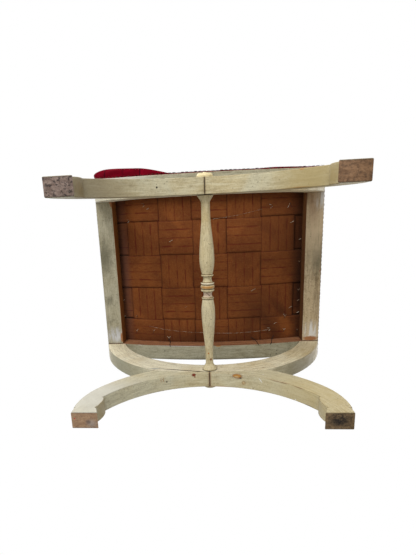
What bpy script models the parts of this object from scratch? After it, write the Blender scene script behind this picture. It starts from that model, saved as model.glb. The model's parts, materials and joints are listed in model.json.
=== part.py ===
"""Curule stool: two curved frames and a turned stretcher under a dished, webbed and stuffed seat.

Metres, with +Z up and the front of the stool towards -Y. Left is -X, as seen from the front.
The origin is on the floor, under the middle of the seat.
"""

import math

import bmesh
import bpy
from mathutils import Matrix, Vector

# Fits and cuts
FIT_GAP = 0.0003
BORE_CLEARANCE = 0.0003
OVERRUN = 0.004
WELD = 0.00001
ARRIS = 0.0012

# The two X-frames: an arch on two legs below, a cradle of two arms above
FRAME_THICKNESS = 0.0325
ARCH_APEX = 0.182
ARCH_HALF_SPAN = 0.2085
ARCH_SPRING = 0.064
ARCH_DEPTH = 0.049
HIP_HEIGHT = 0.1134
HIP_STEP = 0.0165
SEAM_DEPTH = 0.008
CROSSING_DEPTH = 0.050
CRADLE_LAP = 0.0105
CRADLE_RISE = 0.166
ARM_WIDTH = 0.0479
ARM_REVEAL = 0.0005

# The ankle and foot of a leg
FOOT_TOE = 0.0415
FOOT_LENGTH = 0.049
FOOT_HEIGHT = 0.018
FOOT_SLANT = 0.006
QUIRK_HEIGHT = 0.003
QUIRK_DEPTH = 0.003
ANKLE_RADIUS = 0.149
STEP_WIDTH = 0.0045
STEP_DROP = 0.0025
OVOLO_SETBACK = 0.0035
OVOLO_BULGE = 0.0037

# The seat's rails
SEAT_WIDTH = 0.562
SEAT_DEPTH = 0.471
FRONT_OVERHANG = 0.02425
REAR_OVERHANG = 0.00725
RAIL_HEIGHT = 0.041
SIDE_RAIL_WIDTH = 0.042
END_RAIL_WIDTH = 0.040
UNDERSIDE_SAG = 0.028
SEAT_SAG = 0.036

# Dowels and pegs
ARM_DOWEL_SHARES = (0.24, 0.76)
DOWEL_RADIUS = 0.004
DOWEL_LENGTH = 0.046
DOWEL_TIP_GAP = 0.001
DOWEL_EASE = 0.0008
RAIL_DOWEL_SPACING = 0.019
PEG_RADIUS = 0.0047
PEG_LENGTH = 0.048
PEG_OFFSET = 0.072

# The turned stretcher, from its middle outwards
STRETCHER_RISE = 0.025
MIDDLE_BEAD_RADIUS = 0.0148
MIDDLE_BEAD_HALF = 0.0042
MIDDLE_NECK_RADIUS = 0.0126
SIDE_BEAD_RADIUS = 0.0142
SIDE_BEAD_START = 0.0056
SIDE_BEAD_END = 0.0096
COVE_END = 0.0222
COVE_RADIUS = 0.0090
RING_RADIUS = 0.0131
RING_NECK_RADIUS = 0.0108
RING_END = 0.0266
VASE_START_RADIUS = 0.0114
VASE_BELLY_AT = 0.056
FRONT_BELLY_RADIUS = 0.0157
REAR_BELLY_RADIUS = 0.0146
VASE_WAIST_AT = 0.156
FRONT_WAIST_RADIUS = 0.0090
REAR_WAIST_RADIUS = 0.0084
FLARE_START = 0.172
FLARE_LIP = 0.0032
FLARE_RADIUS = 0.0163
TENON_RADIUS = 0.007
TENON_LENGTH = 0.020

# The rosettes on the outer faces of the crossings
ROSETTE_RADIUS = 0.0163
ROSETTE_RIM = 0.0024
ROSETTE_SHOULDER_RADIUS = 0.0128
ROSETTE_SHOULDER = 0.0062
ROSETTE_DISH = 0.0048
ROSETTE_BOSS_RADIUS = 0.0052
ROSETTE_HEIGHT = 0.0104
ROSETTE_PIN_RADIUS = 0.004
ROSETTE_PIN_LENGTH = 0.010

# Webbing and hessian
WEB_STRIPS = 5
WEB_GAP = 0.0025
WEB_THICKNESS = 0.0012
WEB_ROW_MARGIN = 0.01925
WEB_COLUMN_MARGIN = 0.064
WEB_SHIFT_X = 0.004
WEB_SHIFT_Y = 0.0035
WEB_LEVEL = 0.001
WEB_END_MARGIN = 0.012
HESSIAN_THICKNESS = 0.0008
HESSIAN_MARGIN = 0.024

# Stuffing and velvet
CROWN_MIDDLE = 0.036
CROWN_ENDS = 0.049
EDGE_FALL = 0.016
SIDE_BULGE = 0.014
FRONT_BULGE_MIDDLE = 0.004
FRONT_BULGE_ENDS = 0.021
BULGE_FLAT = 0.070
BULGE_FULL = 0.175
CORNER_PULL = 0.009
VELVET_THICKNESS = 0.002
VELVET_HEM = 0.012
PAD_LEVEL_SHARES = (0, 0.25, 0.52, 0.78, 1)
PAD_OUT_SHARES = (0, 0.8, 1, 0.7, -0.35)
PAD_ACROSS_SHARES = (-1, -0.93, -0.8, -0.55, -0.2, 0.2, 0.55, 0.8, 0.93, 1)
PAD_EDGE_SHARE = 0.94

# Facets
DOWEL_SIDES = 10
BORE_SIDES = 12
TURNING_SIDES = 20

FRONT = -1
REAR = 1
LEFT = -1
RIGHT = 1
ENDS = {"front": FRONT, "rear": REAR}
SIDES = {"left": LEFT, "right": RIGHT}

PAINT = ("cream_paint", (0.84, 0.79, 0.63), 0.55)
RAIL_PAINT = ("aged_rail_paint", (0.64, 0.61, 0.52), 0.6)
BEECH = ("bare_beech", (0.62, 0.45, 0.29), 0.65)
JUTE = ("jute_webbing", (0.40, 0.22, 0.11), 0.9)
HESSIAN = ("hessian", (0.47, 0.33, 0.19), 0.95)
HAIR = ("hair_stuffing", (0.24, 0.19, 0.14), 0.95)
VELVET = ("crimson_velvet", (0.47, 0.02, 0.12), 0.85)


def clear_scene():
    """Removes whatever the scene holds at the start."""
    for item in list(bpy.data.objects):
        bpy.data.objects.remove(item, do_unlink=True)


def make_collection(name):
    """Makes a collection and links it to the scene."""
    collection = bpy.data.collections.new(name)
    bpy.context.scene.collection.children.link(collection)
    return collection


def linear(channel):
    """A display colour channel as Blender's linear light."""
    return ((channel + 0.055) / 1.055) ** 2.4


def material_for(object_name, finish):
    """A Principled material of one finish for one object."""
    label, colour, roughness = finish
    material = bpy.data.materials.new(f"{object_name}_{label}")
    material.use_nodes = True
    shader = material.node_tree.nodes["Principled BSDF"]
    shader.inputs["Base Color"].default_value = (*[linear(channel) for channel in colour], 1.0)
    shader.inputs["Roughness"].default_value = roughness
    shader.inputs["Metallic"].default_value = 0.0
    return material


def add_object(name, mesh, finish):
    """Links a mesh as a named piece of the stool, shaded smooth between its sharp edges."""
    piece = bpy.data.objects.new(name, mesh)
    stool.objects.link(piece)
    mesh.materials.clear()
    mesh.materials.append(material_for(name, finish))
    mesh.shade_smooth()
    mesh.set_sharp_from_angle(angle=math.radians(35))
    return piece


def mesh_from(name, bm):
    """Turns a bmesh into a mesh and frees it."""
    mesh = bpy.data.meshes.new(name)
    bm.to_mesh(mesh)
    bm.free()
    return mesh


def arc(centre, start, end, steps):
    """Points along the shorter arc about a centre, from start to end, both included."""
    first = math.atan2(start[1] - centre[1], start[0] - centre[0])
    last = math.atan2(end[1] - centre[1], end[0] - centre[0])
    sweep = (last - first + math.pi) % math.tau - math.pi
    radius = math.dist(centre, start)
    angles = [first + sweep * step / steps for step in range(steps + 1)]
    return [(centre[0] + radius * math.cos(a), centre[1] + radius * math.sin(a)) for a in angles]


def bowed(start, end, rise, steps):
    """Points along an arc between two points, bowed by rise to the left of the way it runs."""
    chord = Vector(end) - Vector(start)
    half = chord.length / 2
    radius = (half * half + rise * rise) / (2 * abs(rise))
    left = Vector((-chord.y, chord.x)).normalized() * math.copysign(1, rise)
    centre = (Vector(start) + Vector(end)) / 2 - left * (radius - abs(rise))
    return arc(tuple(centre), start, end, steps)


def on_circle(centre, radius, x, side):
    """The point of a circle at x, on its upper side (1) or its lower side (-1)."""
    return (x, centre[1] + side * math.sqrt(radius * radius - (x - centre[0]) ** 2))


def sagging(x, end_height, sag, half_span):
    """Height at x of a line that is level beyond half_span and sags in an arc between."""
    if abs(x) >= half_span:
        return end_height
    radius = bow_radius(half_span, sag)
    return end_height - math.sqrt(radius * radius - x * x) + radius - sag


def spaced(start, end, steps):
    """Evenly spaced values from start to end, both included."""
    return [start + (end - start) * step / steps for step in range(steps + 1)]


def smooth_share(value, low, high):
    """Rises smoothly from 0 at low to 1 at high."""
    share = min(1, max(0, (value - low) / (high - low)))
    return share * share * (3 - 2 * share)


def bow_radius(half_span, rise):
    """Radius of the arc that rises this far over half its span."""
    return (half_span * half_span + rise * rise) / (2 * rise)


# Heights and places that follow from the sizes above
ARCH_CROWN = ARCH_APEX + ARCH_DEPTH
JOINT_KEEL = ARCH_APEX + SEAM_DEPTH
CRADLE_KEEL = ARCH_APEX - CRADLE_LAP
CRADLE_HOLLOW = ARCH_APEX + CROSSING_DEPTH
STRETCHER_HEIGHT = ARCH_APEX + STRETCHER_RISE
RAIL_UNDERSIDE = CRADLE_HOLLOW + CRADLE_RISE
RAIL_TOP = RAIL_UNDERSIDE + RAIL_HEIGHT
ARM_TOP = RAIL_UNDERSIDE - FIT_GAP
ARM_OUTER = SEAT_WIDTH / 2 - ARM_REVEAL
ARM_INNER = ARM_OUTER - ARM_WIDTH
HIP_HALF_SPAN = ARCH_HALF_SPAN + HIP_STEP
FOOT_OUTER = ARCH_HALF_SPAN + FOOT_TOE
FOOT_INNER = FOOT_OUTER - FOOT_LENGTH
ARCH_INNER_RADIUS = bow_radius(ARCH_HALF_SPAN, ARCH_APEX - ARCH_SPRING)
ARCH_OUTER_RADIUS = bow_radius(HIP_HALF_SPAN, ARCH_CROWN - HIP_HEIGHT)
CRADLE_INNER_RADIUS = bow_radius(ARM_INNER, ARM_TOP - CRADLE_HOLLOW)
CRADLE_OUTER_RADIUS = bow_radius(ARM_OUTER, ARM_TOP - CRADLE_KEEL)
ARCH_INNER_CENTRE = (0, ARCH_APEX - ARCH_INNER_RADIUS)
ARCH_OUTER_CENTRE = (0, ARCH_CROWN - ARCH_OUTER_RADIUS)
CRADLE_INNER_CENTRE = (0, CRADLE_HOLLOW + CRADLE_INNER_RADIUS)
CRADLE_OUTER_CENTRE = (0, CRADLE_KEEL + CRADLE_OUTER_RADIUS)
FRAME_MIDDLE = (SEAT_DEPTH - FRONT_OVERHANG - REAR_OVERHANG - FRAME_THICKNESS) / 2
FRAME_INNER_FACE = FRAME_MIDDLE - FRAME_THICKNESS / 2
FRAME_OUTER_FACE = FRAME_MIDDLE + FRAME_THICKNESS / 2
SEAT_FORWARD = (FRONT_OVERHANG - REAR_OVERHANG) / 2
SIDE_RAIL_INNER = SEAT_WIDTH / 2 - SIDE_RAIL_WIDTH
UNDERSIDE_HALF_SPAN = ARM_INNER - FIT_GAP
WEB_COLUMN_PITCH = (SEAT_WIDTH - 2 * WEB_COLUMN_MARGIN) / WEB_STRIPS
WEB_ROW_PITCH = (SEAT_DEPTH - 2 * WEB_ROW_MARGIN) / WEB_STRIPS
WEB_BASE = FIT_GAP + WEB_LEVEL + WEB_THICKNESS / 2
WEB_TOP = WEB_BASE + WEB_LEVEL + WEB_THICKNESS / 2
HESSIAN_BASE = WEB_TOP + FIT_GAP + HESSIAN_THICKNESS / 2
PAD_BASE = HESSIAN_BASE + HESSIAN_THICKNESS / 2 + FIT_GAP


def seat_line(x):
    """Height of the rails' dished top at x."""
    return sagging(x, RAIL_TOP, SEAT_SAG, SIDE_RAIL_INNER)


def underside_line(x):
    """Height of the end rails' dished underside at x."""
    return sagging(x, RAIL_UNDERSIDE, UNDERSIDE_SAG, UNDERSIDE_HALF_SPAN)


def crossing_point():
    """Where the outer curves of the arch and the cradle meet."""
    rise = CRADLE_OUTER_CENTRE[1] - ARCH_OUTER_CENTRE[1]
    along = (ARCH_OUTER_RADIUS ** 2 - CRADLE_OUTER_RADIUS ** 2 + rise ** 2) / (2 * rise)
    return (math.sqrt(ARCH_OUTER_RADIUS ** 2 - along ** 2), ARCH_OUTER_CENTRE[1] + along)


def joint_centre():
    """Centre of the shallow arc in which the cradle is seated on the arch."""
    corner_x, corner_z = crossing_point()
    radius = bow_radius(corner_x, corner_z - JOINT_KEEL)
    return (0, JOINT_KEEL + radius), radius


def leg_outline():
    """The right leg in X and Z, from the seam out along the arch, round the foot and back."""
    seam = FIT_GAP / 2
    corner = crossing_point()
    centre, radius = joint_centre()
    arch_start = on_circle(ARCH_INNER_CENTRE, ARCH_INNER_RADIUS, seam, 1)
    arch_end = (ARCH_HALF_SPAN, ARCH_SPRING)
    ovolo_top = (ARCH_HALF_SPAN - STEP_WIDTH, ARCH_SPRING - STEP_DROP)
    foot_top_inner = FOOT_INNER + FOOT_SLANT
    ovolo_foot = foot_top_inner + OVOLO_SETBACK
    ovolo_end = (ovolo_foot, FOOT_HEIGHT + QUIRK_HEIGHT)
    hip = (HIP_HALF_SPAN, HIP_HEIGHT)
    inwards = (Vector(ARCH_OUTER_CENTRE) - Vector(hip)).normalized()
    ankle_centre = tuple(Vector(hip) + inwards * ANKLE_RADIUS)
    ankle_drop = ankle_centre[1] - FOOT_HEIGHT - QUIRK_HEIGHT
    ankle_x = ankle_centre[0] + math.sqrt(ANKLE_RADIUS ** 2 - ankle_drop ** 2)
    ankle_foot = (ankle_x, FOOT_HEIGHT + QUIRK_HEIGHT)
    outline = arc(ARCH_INNER_CENTRE, arch_start, arch_end, 18)
    outline += bowed(ovolo_top, ovolo_end, -OVOLO_BULGE, 6)
    outline.append((ovolo_foot, FOOT_HEIGHT + QUIRK_HEIGHT / 2))
    outline.append((foot_top_inner, FOOT_HEIGHT))
    outline.append((FOOT_INNER, 0))
    outline.append((FOOT_OUTER, 0))
    outline.append((FOOT_OUTER, FOOT_HEIGHT))
    outline.append((FOOT_OUTER - QUIRK_DEPTH, FOOT_HEIGHT + QUIRK_HEIGHT / 2))
    outline += arc(ankle_centre, ankle_foot, hip, 7)
    outline += arc(ARCH_OUTER_CENTRE, hip, corner, 9)[1:]
    outline += arc(centre, corner, on_circle(centre, radius, seam, -1), 8)[1:]
    return outline


def arm_outline():
    """The right arm in X and Z, from the seam out along the joint, up to its end and back."""
    seam = FIT_GAP / 2
    corner_x, corner_z = crossing_point()
    centre, radius = joint_centre()
    centre = (centre[0], centre[1] + FIT_GAP)
    corner = (corner_x, corner_z + FIT_GAP)
    clear_x = corner_x + 2 * FIT_GAP
    outer_start = on_circle(CRADLE_OUTER_CENTRE, CRADLE_OUTER_RADIUS, clear_x, -1)
    hollow_end = on_circle(CRADLE_INNER_CENTRE, CRADLE_INNER_RADIUS, seam, -1)
    outline = arc(centre, on_circle(centre, radius, seam, -1), corner, 8)
    outline += arc(CRADLE_OUTER_CENTRE, outer_start, (ARM_OUTER, ARM_TOP), 13)
    outline += arc(CRADLE_INNER_CENTRE, (ARM_INNER, ARM_TOP), hollow_end, 18)
    return outline


def end_rail_outline():
    """The right half of the front or rear rail in X and Z, dished above and below.

    It starts a little past the middle, where the mirror cuts it.
    """
    end = SEAT_WIDTH / 2
    steps = 10
    outline = [(-OVERRUN, underside_line(OVERRUN))]
    outline += [(x, underside_line(x)) for x in spaced(0, UNDERSIDE_HALF_SPAN, steps)]
    outline += [(end, RAIL_UNDERSIDE), (end, RAIL_TOP)]
    outline += [(x, seat_line(x)) for x in spaced(SIDE_RAIL_INNER, 0, steps)]
    outline.append((-OVERRUN, seat_line(OVERRUN)))
    return outline


def mirrored(outline):
    """An outline turned left for right, still running the same way round."""
    return [(-x, z) for x, z in reversed(outline)]


def flat_piece(name, outline, y_low, y_high, finish):
    """A board sawn to an outline in X and Z, with eased arrises, from one Y to another."""
    curve = bpy.data.curves.new(f"{name}_outline", "CURVE")
    curve.dimensions = "2D"
    curve.fill_mode = "BOTH"
    curve.extrude = (y_high - y_low) / 2 - ARRIS
    curve.bevel_depth = ARRIS
    curve.bevel_resolution = 0
    curve.offset = -ARRIS
    spline = curve.splines.new("POLY")
    spline.points.add(len(outline) - 1)
    for point, (x, z) in zip(spline.points, outline):
        point.co = (x, z, 0, 1)
    spline.use_cyclic_u = True
    drawing = bpy.data.objects.new(f"{name}_drawing", curve)
    stool.objects.link(drawing)
    drawing.rotation_euler = (math.pi / 2, 0, 0)
    drawing.location = (0, (y_low + y_high) / 2, 0)
    bpy.context.view_layer.update()
    depsgraph = bpy.context.evaluated_depsgraph_get()
    mesh = bpy.data.meshes.new_from_object(drawing.evaluated_get(depsgraph))
    placing = drawing.matrix_world.copy()
    bpy.data.objects.remove(drawing, do_unlink=True)
    bm = bmesh.new()
    bm.from_mesh(mesh)
    bmesh.ops.remove_doubles(bm, verts=bm.verts, dist=WELD)
    bm.to_mesh(mesh)
    bm.free()
    piece = add_object(name, mesh, finish)
    piece.matrix_world = placing
    return piece


def add_rod(bm, start, end, radius, sides, end_radius=None):
    """Adds a closed cylinder or cone between two points."""
    axis = Vector(end) - Vector(start)
    turn = axis.to_track_quat("Z", "Y").to_matrix().to_4x4()
    matrix = Matrix.Translation((Vector(start) + Vector(end)) / 2) @ turn
    far_radius = radius if end_radius is None else end_radius
    bmesh.ops.create_cone(bm, cap_ends=True, segments=sides, radius1=radius,
                          radius2=far_radius, depth=axis.length, matrix=matrix)


def bored(piece, bores):
    """Cuts round holes, each given by its two ends and its radius, into a piece."""
    bm = bmesh.new()
    for start, end, radius in bores:
        clear_radius = (radius + BORE_CLEARANCE) / math.cos(math.pi / BORE_SIDES)
        add_rod(bm, start, end, clear_radius, BORE_SIDES)
    cutter = bpy.data.objects.new(f"{piece.name}_bores", mesh_from(f"{piece.name}_bores", bm))
    cutters.objects.link(cutter)
    cutter.hide_render = True
    cutter.display_type = "WIRE"
    cut = piece.modifiers.new("bores", "BOOLEAN")
    cut.operation = "DIFFERENCE"
    cut.solver = "EXACT"
    cut.object = cutter


def stretched(start, end, extra_start, extra_end):
    """The two ends of a line, moved outwards along it."""
    way = (Vector(end) - Vector(start)).normalized()
    return Vector(start) - way * extra_start, Vector(end) + way * extra_end


def rail_inner_face(end):
    """Y of the inner face of the front or rear rail."""
    return end * (SEAT_DEPTH / 2 - END_RAIL_WIDTH)


def frame_y(end, distance):
    """Y of a place on the front or rear frame, at a distance from midway between the two."""
    return SEAT_FORWARD + end * distance


def arm_dowel_places():
    """X of the two dowels of a right arm, clear of its curved faces down to their tips."""
    tip_drop = CRADLE_OUTER_CENTRE[1] - RAIL_UNDERSIDE + DOWEL_LENGTH / 2
    outer_at_tip = math.sqrt(CRADLE_OUTER_RADIUS ** 2 - tip_drop ** 2)
    room = outer_at_tip - ARM_INNER
    return [ARM_INNER + room * share for share in ARM_DOWEL_SHARES]


def arm_dowel_lines(end, side):
    """Centre lines of the two dowels in the middle of an arm's bearing under its end rail."""
    inner = max(end * frame_y(end, FRAME_INNER_FACE), end * rail_inner_face(end))
    outer = min(end * frame_y(end, FRAME_OUTER_FACE), SEAT_DEPTH / 2)
    y = end * (inner + outer) / 2
    low = RAIL_UNDERSIDE - DOWEL_LENGTH / 2
    high = RAIL_UNDERSIDE + DOWEL_LENGTH / 2
    return [((side * x, y, low), (side * x, y, high)) for x in arm_dowel_places()]


def rail_dowel_lines(end, side):
    """Centre lines of the two dowels at a corner of the rails, between the arm's dowels."""
    x = side * sum(arm_dowel_places()) / 2
    face = rail_inner_face(end)
    half = end * DOWEL_LENGTH / 2
    middle = RAIL_UNDERSIDE + RAIL_HEIGHT / 2
    lines = []
    for shift in (-RAIL_DOWEL_SPACING / 2, RAIL_DOWEL_SPACING / 2):
        lines.append(((x, face - half, middle + shift), (x, face + half, middle + shift)))
    return lines


def peg_line(end, side):
    """Centre line of the peg that is driven up through a leg into the arm above it."""
    foot_x, foot_z = on_circle(ARCH_INNER_CENTRE, ARCH_INNER_RADIUS, PEG_OFFSET, 1)
    way = (Vector((foot_x, foot_z)) - Vector(ARCH_INNER_CENTRE)).normalized()
    low = Vector((foot_x, foot_z)) + way * FIT_GAP
    high = low + way * PEG_LENGTH
    y = frame_y(end, FRAME_MIDDLE)
    return (side * low.x, y, low.y), (side * high.x, y, high.y)


def stretcher_bore(end):
    """The mortise for the stretcher's tenon, as two ends and a radius."""
    face = frame_y(end, FRAME_INNER_FACE - OVERRUN)
    bottom = frame_y(end, FRAME_INNER_FACE + TENON_LENGTH + DOWEL_TIP_GAP)
    return (0, face, STRETCHER_HEIGHT), (0, bottom, STRETCHER_HEIGHT), TENON_RADIUS


def rosette_bore(end):
    """The hole for a rosette's pin, as two ends and a radius."""
    face = frame_y(end, FRAME_OUTER_FACE + OVERRUN)
    bottom = frame_y(end, FRAME_OUTER_FACE - ROSETTE_PIN_LENGTH - DOWEL_TIP_GAP)
    return (0, face, STRETCHER_HEIGHT), (0, bottom, STRETCHER_HEIGHT), ROSETTE_PIN_RADIUS


def build_frames():
    """The four legs and the four arms, bored for their pegs, dowels, tenon and rosette pin."""
    for end_name, end in ENDS.items():
        y_low = frame_y(end, FRAME_MIDDLE) - FRAME_THICKNESS / 2
        y_high = y_low + FRAME_THICKNESS
        for side_name, side in SIDES.items():
            shape = leg_outline() if side == RIGHT else mirrored(leg_outline())
            leg = flat_piece(f"{end_name}_{side_name}_leg", shape, y_low, y_high, PAINT)
            shape = arm_outline() if side == RIGHT else mirrored(arm_outline())
            arm = flat_piece(f"{end_name}_{side_name}_arm", shape, y_low, y_high, PAINT)
            peg = (*stretched(*peg_line(end, side), OVERRUN, DOWEL_TIP_GAP), PEG_RADIUS)
            bored(leg, [peg])
            bores = [peg, stretcher_bore(end), rosette_bore(end)]
            for low, high in arm_dowel_lines(end, side):
                bores.append((*stretched(low, high, DOWEL_TIP_GAP, 0), DOWEL_RADIUS))
            bored(arm, bores)


def build_end_rails():
    """The dished front and rear rails, bored for the arms' dowels and the corner dowels."""
    for end_name, end in ENDS.items():
        faces = sorted((rail_inner_face(end), rail_inner_face(end) + end * END_RAIL_WIDTH))
        rail = flat_piece(f"{end_name}_rail", end_rail_outline(), *faces, RAIL_PAINT)
        halves = rail.modifiers.new("both_halves", "MIRROR")
        halves.use_axis[0] = True
        halves.use_bisect_axis[0] = True
        halves.merge_threshold = WELD
        bores = []
        for side in SIDES.values():
            for low, high in arm_dowel_lines(end, side):
                bores.append((*stretched(low, high, 0, DOWEL_TIP_GAP), DOWEL_RADIUS))
            for near, far in rail_dowel_lines(end, side):
                bores.append((*stretched(near, far, 0, DOWEL_TIP_GAP), DOWEL_RADIUS))
        bored(rail, bores)


def build_side_rails():
    """The straight left and right rails between the end rails."""
    front = rail_inner_face(FRONT) + FIT_GAP
    rear = rail_inner_face(REAR) - FIT_GAP
    for side_name, side in SIDES.items():
        bm = bmesh.new()
        bmesh.ops.create_cube(bm, size=1)
        bmesh.ops.scale(bm, vec=(SIDE_RAIL_WIDTH, rear - front, RAIL_HEIGHT), verts=bm.verts)
        rail = add_object(f"{side_name}_rail", mesh_from(f"{side_name}_rail", bm), RAIL_PAINT)
        rail.location = (side * (SEAT_WIDTH - SIDE_RAIL_WIDTH) / 2, (front + rear) / 2,
                         RAIL_UNDERSIDE + RAIL_HEIGHT / 2)
        ease = rail.modifiers.new("eased_arrises", "BEVEL")
        ease.width = ARRIS
        ease.segments = 1
        bores = []
        for end in ENDS.values():
            for near, far in rail_dowel_lines(end, side):
                bores.append((*stretched(near, far, DOWEL_TIP_GAP, 0), DOWEL_RADIUS))
        bored(rail, bores)


def add_dowel(name, start, end, radius):
    """A round wooden dowel or peg between two points, its ends eased."""
    axis = Vector(end) - Vector(start)
    bm = bmesh.new()
    bmesh.ops.create_cone(bm, cap_ends=True, segments=DOWEL_SIDES, radius1=radius,
                          radius2=radius, depth=axis.length)
    dowel = add_object(name, mesh_from(name, bm), BEECH)
    dowel.rotation_euler = axis.to_track_quat("Z", "Y").to_euler()
    dowel.location = (Vector(start) + Vector(end)) / 2
    ease = dowel.modifiers.new("eased_ends", "BEVEL")
    ease.width = DOWEL_EASE
    ease.segments = 1


def build_dowels():
    """The crossing pegs, the arm dowels and the rail dowels."""
    for end_name, end in ENDS.items():
        for side_name, side in SIDES.items():
            corner = f"{end_name}_{side_name}"
            add_dowel(f"{corner}_crossing_peg", *peg_line(end, side), PEG_RADIUS)
            for place, line in zip(("near", "far"), arm_dowel_lines(end, side)):
                add_dowel(f"{corner}_arm_dowel_{place}", *line, DOWEL_RADIUS)
            for place, line in zip(("lower", "upper"), rail_dowel_lines(end, side)):
                add_dowel(f"{corner}_rail_dowel_{place}", *line, DOWEL_RADIUS)


def turned(name, profile, height, y, outwards, finish):
    """A turned piece: radius and length pairs, spun about a line along Y."""
    bm = bmesh.new()
    verts = [bm.verts.new((radius, 0, length)) for radius, length in profile]
    for first, second in zip(verts, verts[1:]):
        bm.edges.new((first, second))
    piece = add_object(name, mesh_from(name, bm), finish)
    piece.rotation_euler = (-outwards * math.pi / 2, 0, 0)
    piece.location = (0, y, height)
    spin = piece.modifiers.new("turning", "SCREW")
    spin.steps = TURNING_SIDES
    spin.render_steps = TURNING_SIDES
    spin.use_merge_vertices = True
    spin.merge_threshold = WELD
    spin.use_smooth_shade = True
    return piece


def vase_radius(at, belly, waist):
    """Radius of a vase, from its foot ring over its belly to its waist at the flare."""
    if at < VASE_BELLY_AT:
        rise = math.sin(math.pi / 2 * (at - RING_END) / (VASE_BELLY_AT - RING_END))
        return VASE_START_RADIUS + (belly - VASE_START_RADIUS) * rise
    return belly + (waist - belly) * smooth_share(at, VASE_BELLY_AT, VASE_WAIST_AT)


def stretcher_half(belly, waist):
    """Radius and length pairs of half the stretcher, from its middle to its tenon's end.

    The rear vase is turned a little slimmer than the front one.
    """
    face = FRAME_INNER_FACE - FIT_GAP
    middle_start = (MIDDLE_BEAD_RADIUS, 0)
    middle_end = (MIDDLE_NECK_RADIUS, MIDDLE_BEAD_HALF)
    bow = (MIDDLE_BEAD_RADIUS - MIDDLE_NECK_RADIUS) / 2
    points = bowed(middle_start, middle_end, -bow / 2, 2)
    bead = SIDE_BEAD_RADIUS - MIDDLE_NECK_RADIUS
    points += bowed((MIDDLE_NECK_RADIUS, SIDE_BEAD_START), (MIDDLE_NECK_RADIUS, SIDE_BEAD_END),
                    -bead, 4)
    cove = MIDDLE_NECK_RADIUS - COVE_RADIUS
    cove_rise = cove - (MIDDLE_NECK_RADIUS - RING_NECK_RADIUS) / 2
    points += bowed((MIDDLE_NECK_RADIUS, SIDE_BEAD_END), (RING_NECK_RADIUS, COVE_END),
                    cove_rise, 5)[1:]
    ring = RING_RADIUS - RING_NECK_RADIUS
    points += bowed((RING_NECK_RADIUS, COVE_END), (RING_NECK_RADIUS, RING_END), -ring, 4)[1:]
    steps = 12
    for step in range(steps + 1):
        at = RING_END + (FLARE_START - RING_END) * step / steps
        points.append((vase_radius(at, belly, waist), at))
    flare_end = (FLARE_RADIUS, face - FLARE_LIP)
    flare = (FLARE_RADIUS - waist) / 3
    points += bowed((waist, FLARE_START), flare_end, flare / 2, 4)[1:]
    points.append((FLARE_RADIUS, face - FIT_GAP))
    points.append((FLARE_RADIUS - FIT_GAP, face))
    points.append((TENON_RADIUS, face))
    points.append((TENON_RADIUS, face + TENON_LENGTH))
    points.append((0, face + TENON_LENGTH))
    return points


def build_stretcher():
    """The turned stretcher between the two crossings."""
    rear = list(reversed(stretcher_half(REAR_BELLY_RADIUS, REAR_WAIST_RADIUS)))
    front_half = stretcher_half(FRONT_BELLY_RADIUS, FRONT_WAIST_RADIUS)
    front = [(radius, -length) for radius, length in front_half[1:]]
    turned("stretcher", rear + front, STRETCHER_HEIGHT, SEAT_FORWARD, REAR, PAINT)


def rosette_profile():
    """Radius and height pairs of a rosette, from the tip of its boss to the end of its pin."""
    shoulder = (ROSETTE_SHOULDER_RADIUS, ROSETTE_SHOULDER)
    boss_foot = (ROSETTE_BOSS_RADIUS, ROSETTE_DISH)
    boss = bowed((0, ROSETTE_HEIGHT), boss_foot, ROSETTE_BOSS_RADIUS / 4, 4)
    ring_inner = (ROSETTE_SHOULDER_RADIUS - ROSETTE_RIM, ROSETTE_DISH)
    points = boss
    points.append(ring_inner)
    points += bowed(ring_inner, shoulder, ROSETTE_RIM / 3, 3)[1:]
    points += bowed(shoulder, (ROSETTE_RADIUS, ROSETTE_RIM), -ROSETTE_RIM / 3, 3)[1:]
    points.append((ROSETTE_RADIUS, 0))
    points.append((ROSETTE_PIN_RADIUS, 0))
    points.append((ROSETTE_PIN_RADIUS, -ROSETTE_PIN_LENGTH))
    points.append((0, -ROSETTE_PIN_LENGTH))
    return points


def build_rosettes():
    """The two turned rosettes on the outer faces of the crossings."""
    for end_name, end in ENDS.items():
        face = frame_y(end, FRAME_OUTER_FACE + FIT_GAP)
        turned(f"{end_name}_rosette", rosette_profile(), STRETCHER_HEIGHT, face, end, PAINT)


def web_columns():
    """X of the middle of each webbing strip that runs from front to rear."""
    first = WEB_SHIFT_X - WEB_COLUMN_PITCH * (WEB_STRIPS - 1) / 2
    return [first + place * WEB_COLUMN_PITCH for place in range(WEB_STRIPS)]


def web_rows():
    """Y of the middle of each webbing strip that runs from left to right."""
    first = WEB_SHIFT_Y - WEB_ROW_PITCH * (WEB_STRIPS - 1) / 2
    return [first + place * WEB_ROW_PITCH for place in range(WEB_STRIPS)]


def row_ends():
    """X of the two ends of the strips that run from left to right."""
    reach = SEAT_WIDTH / 2 - WEB_END_MARGIN
    return -reach, reach


def column_ends():
    """Y of the two ends of the strips that run from front to rear."""
    reach = SEAT_DEPTH / 2 - WEB_END_MARGIN
    return -reach, reach


def seat_stations(reach):
    """The X places where the soft layers bend to follow the dished rails."""
    stations = [-reach, -SIDE_RAIL_INNER]
    half_width = (WEB_COLUMN_PITCH - WEB_GAP) / 2
    for x in web_columns():
        stations += [x - half_width, x, x + half_width]
    return stations + [SIDE_RAIL_INNER, reach]


def station_at(stations, share):
    """The station that a unit grid's coordinate, from -1 to 1, stands for."""
    return stations[round((share + 1) / 2 * (len(stations) - 1))]


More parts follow.
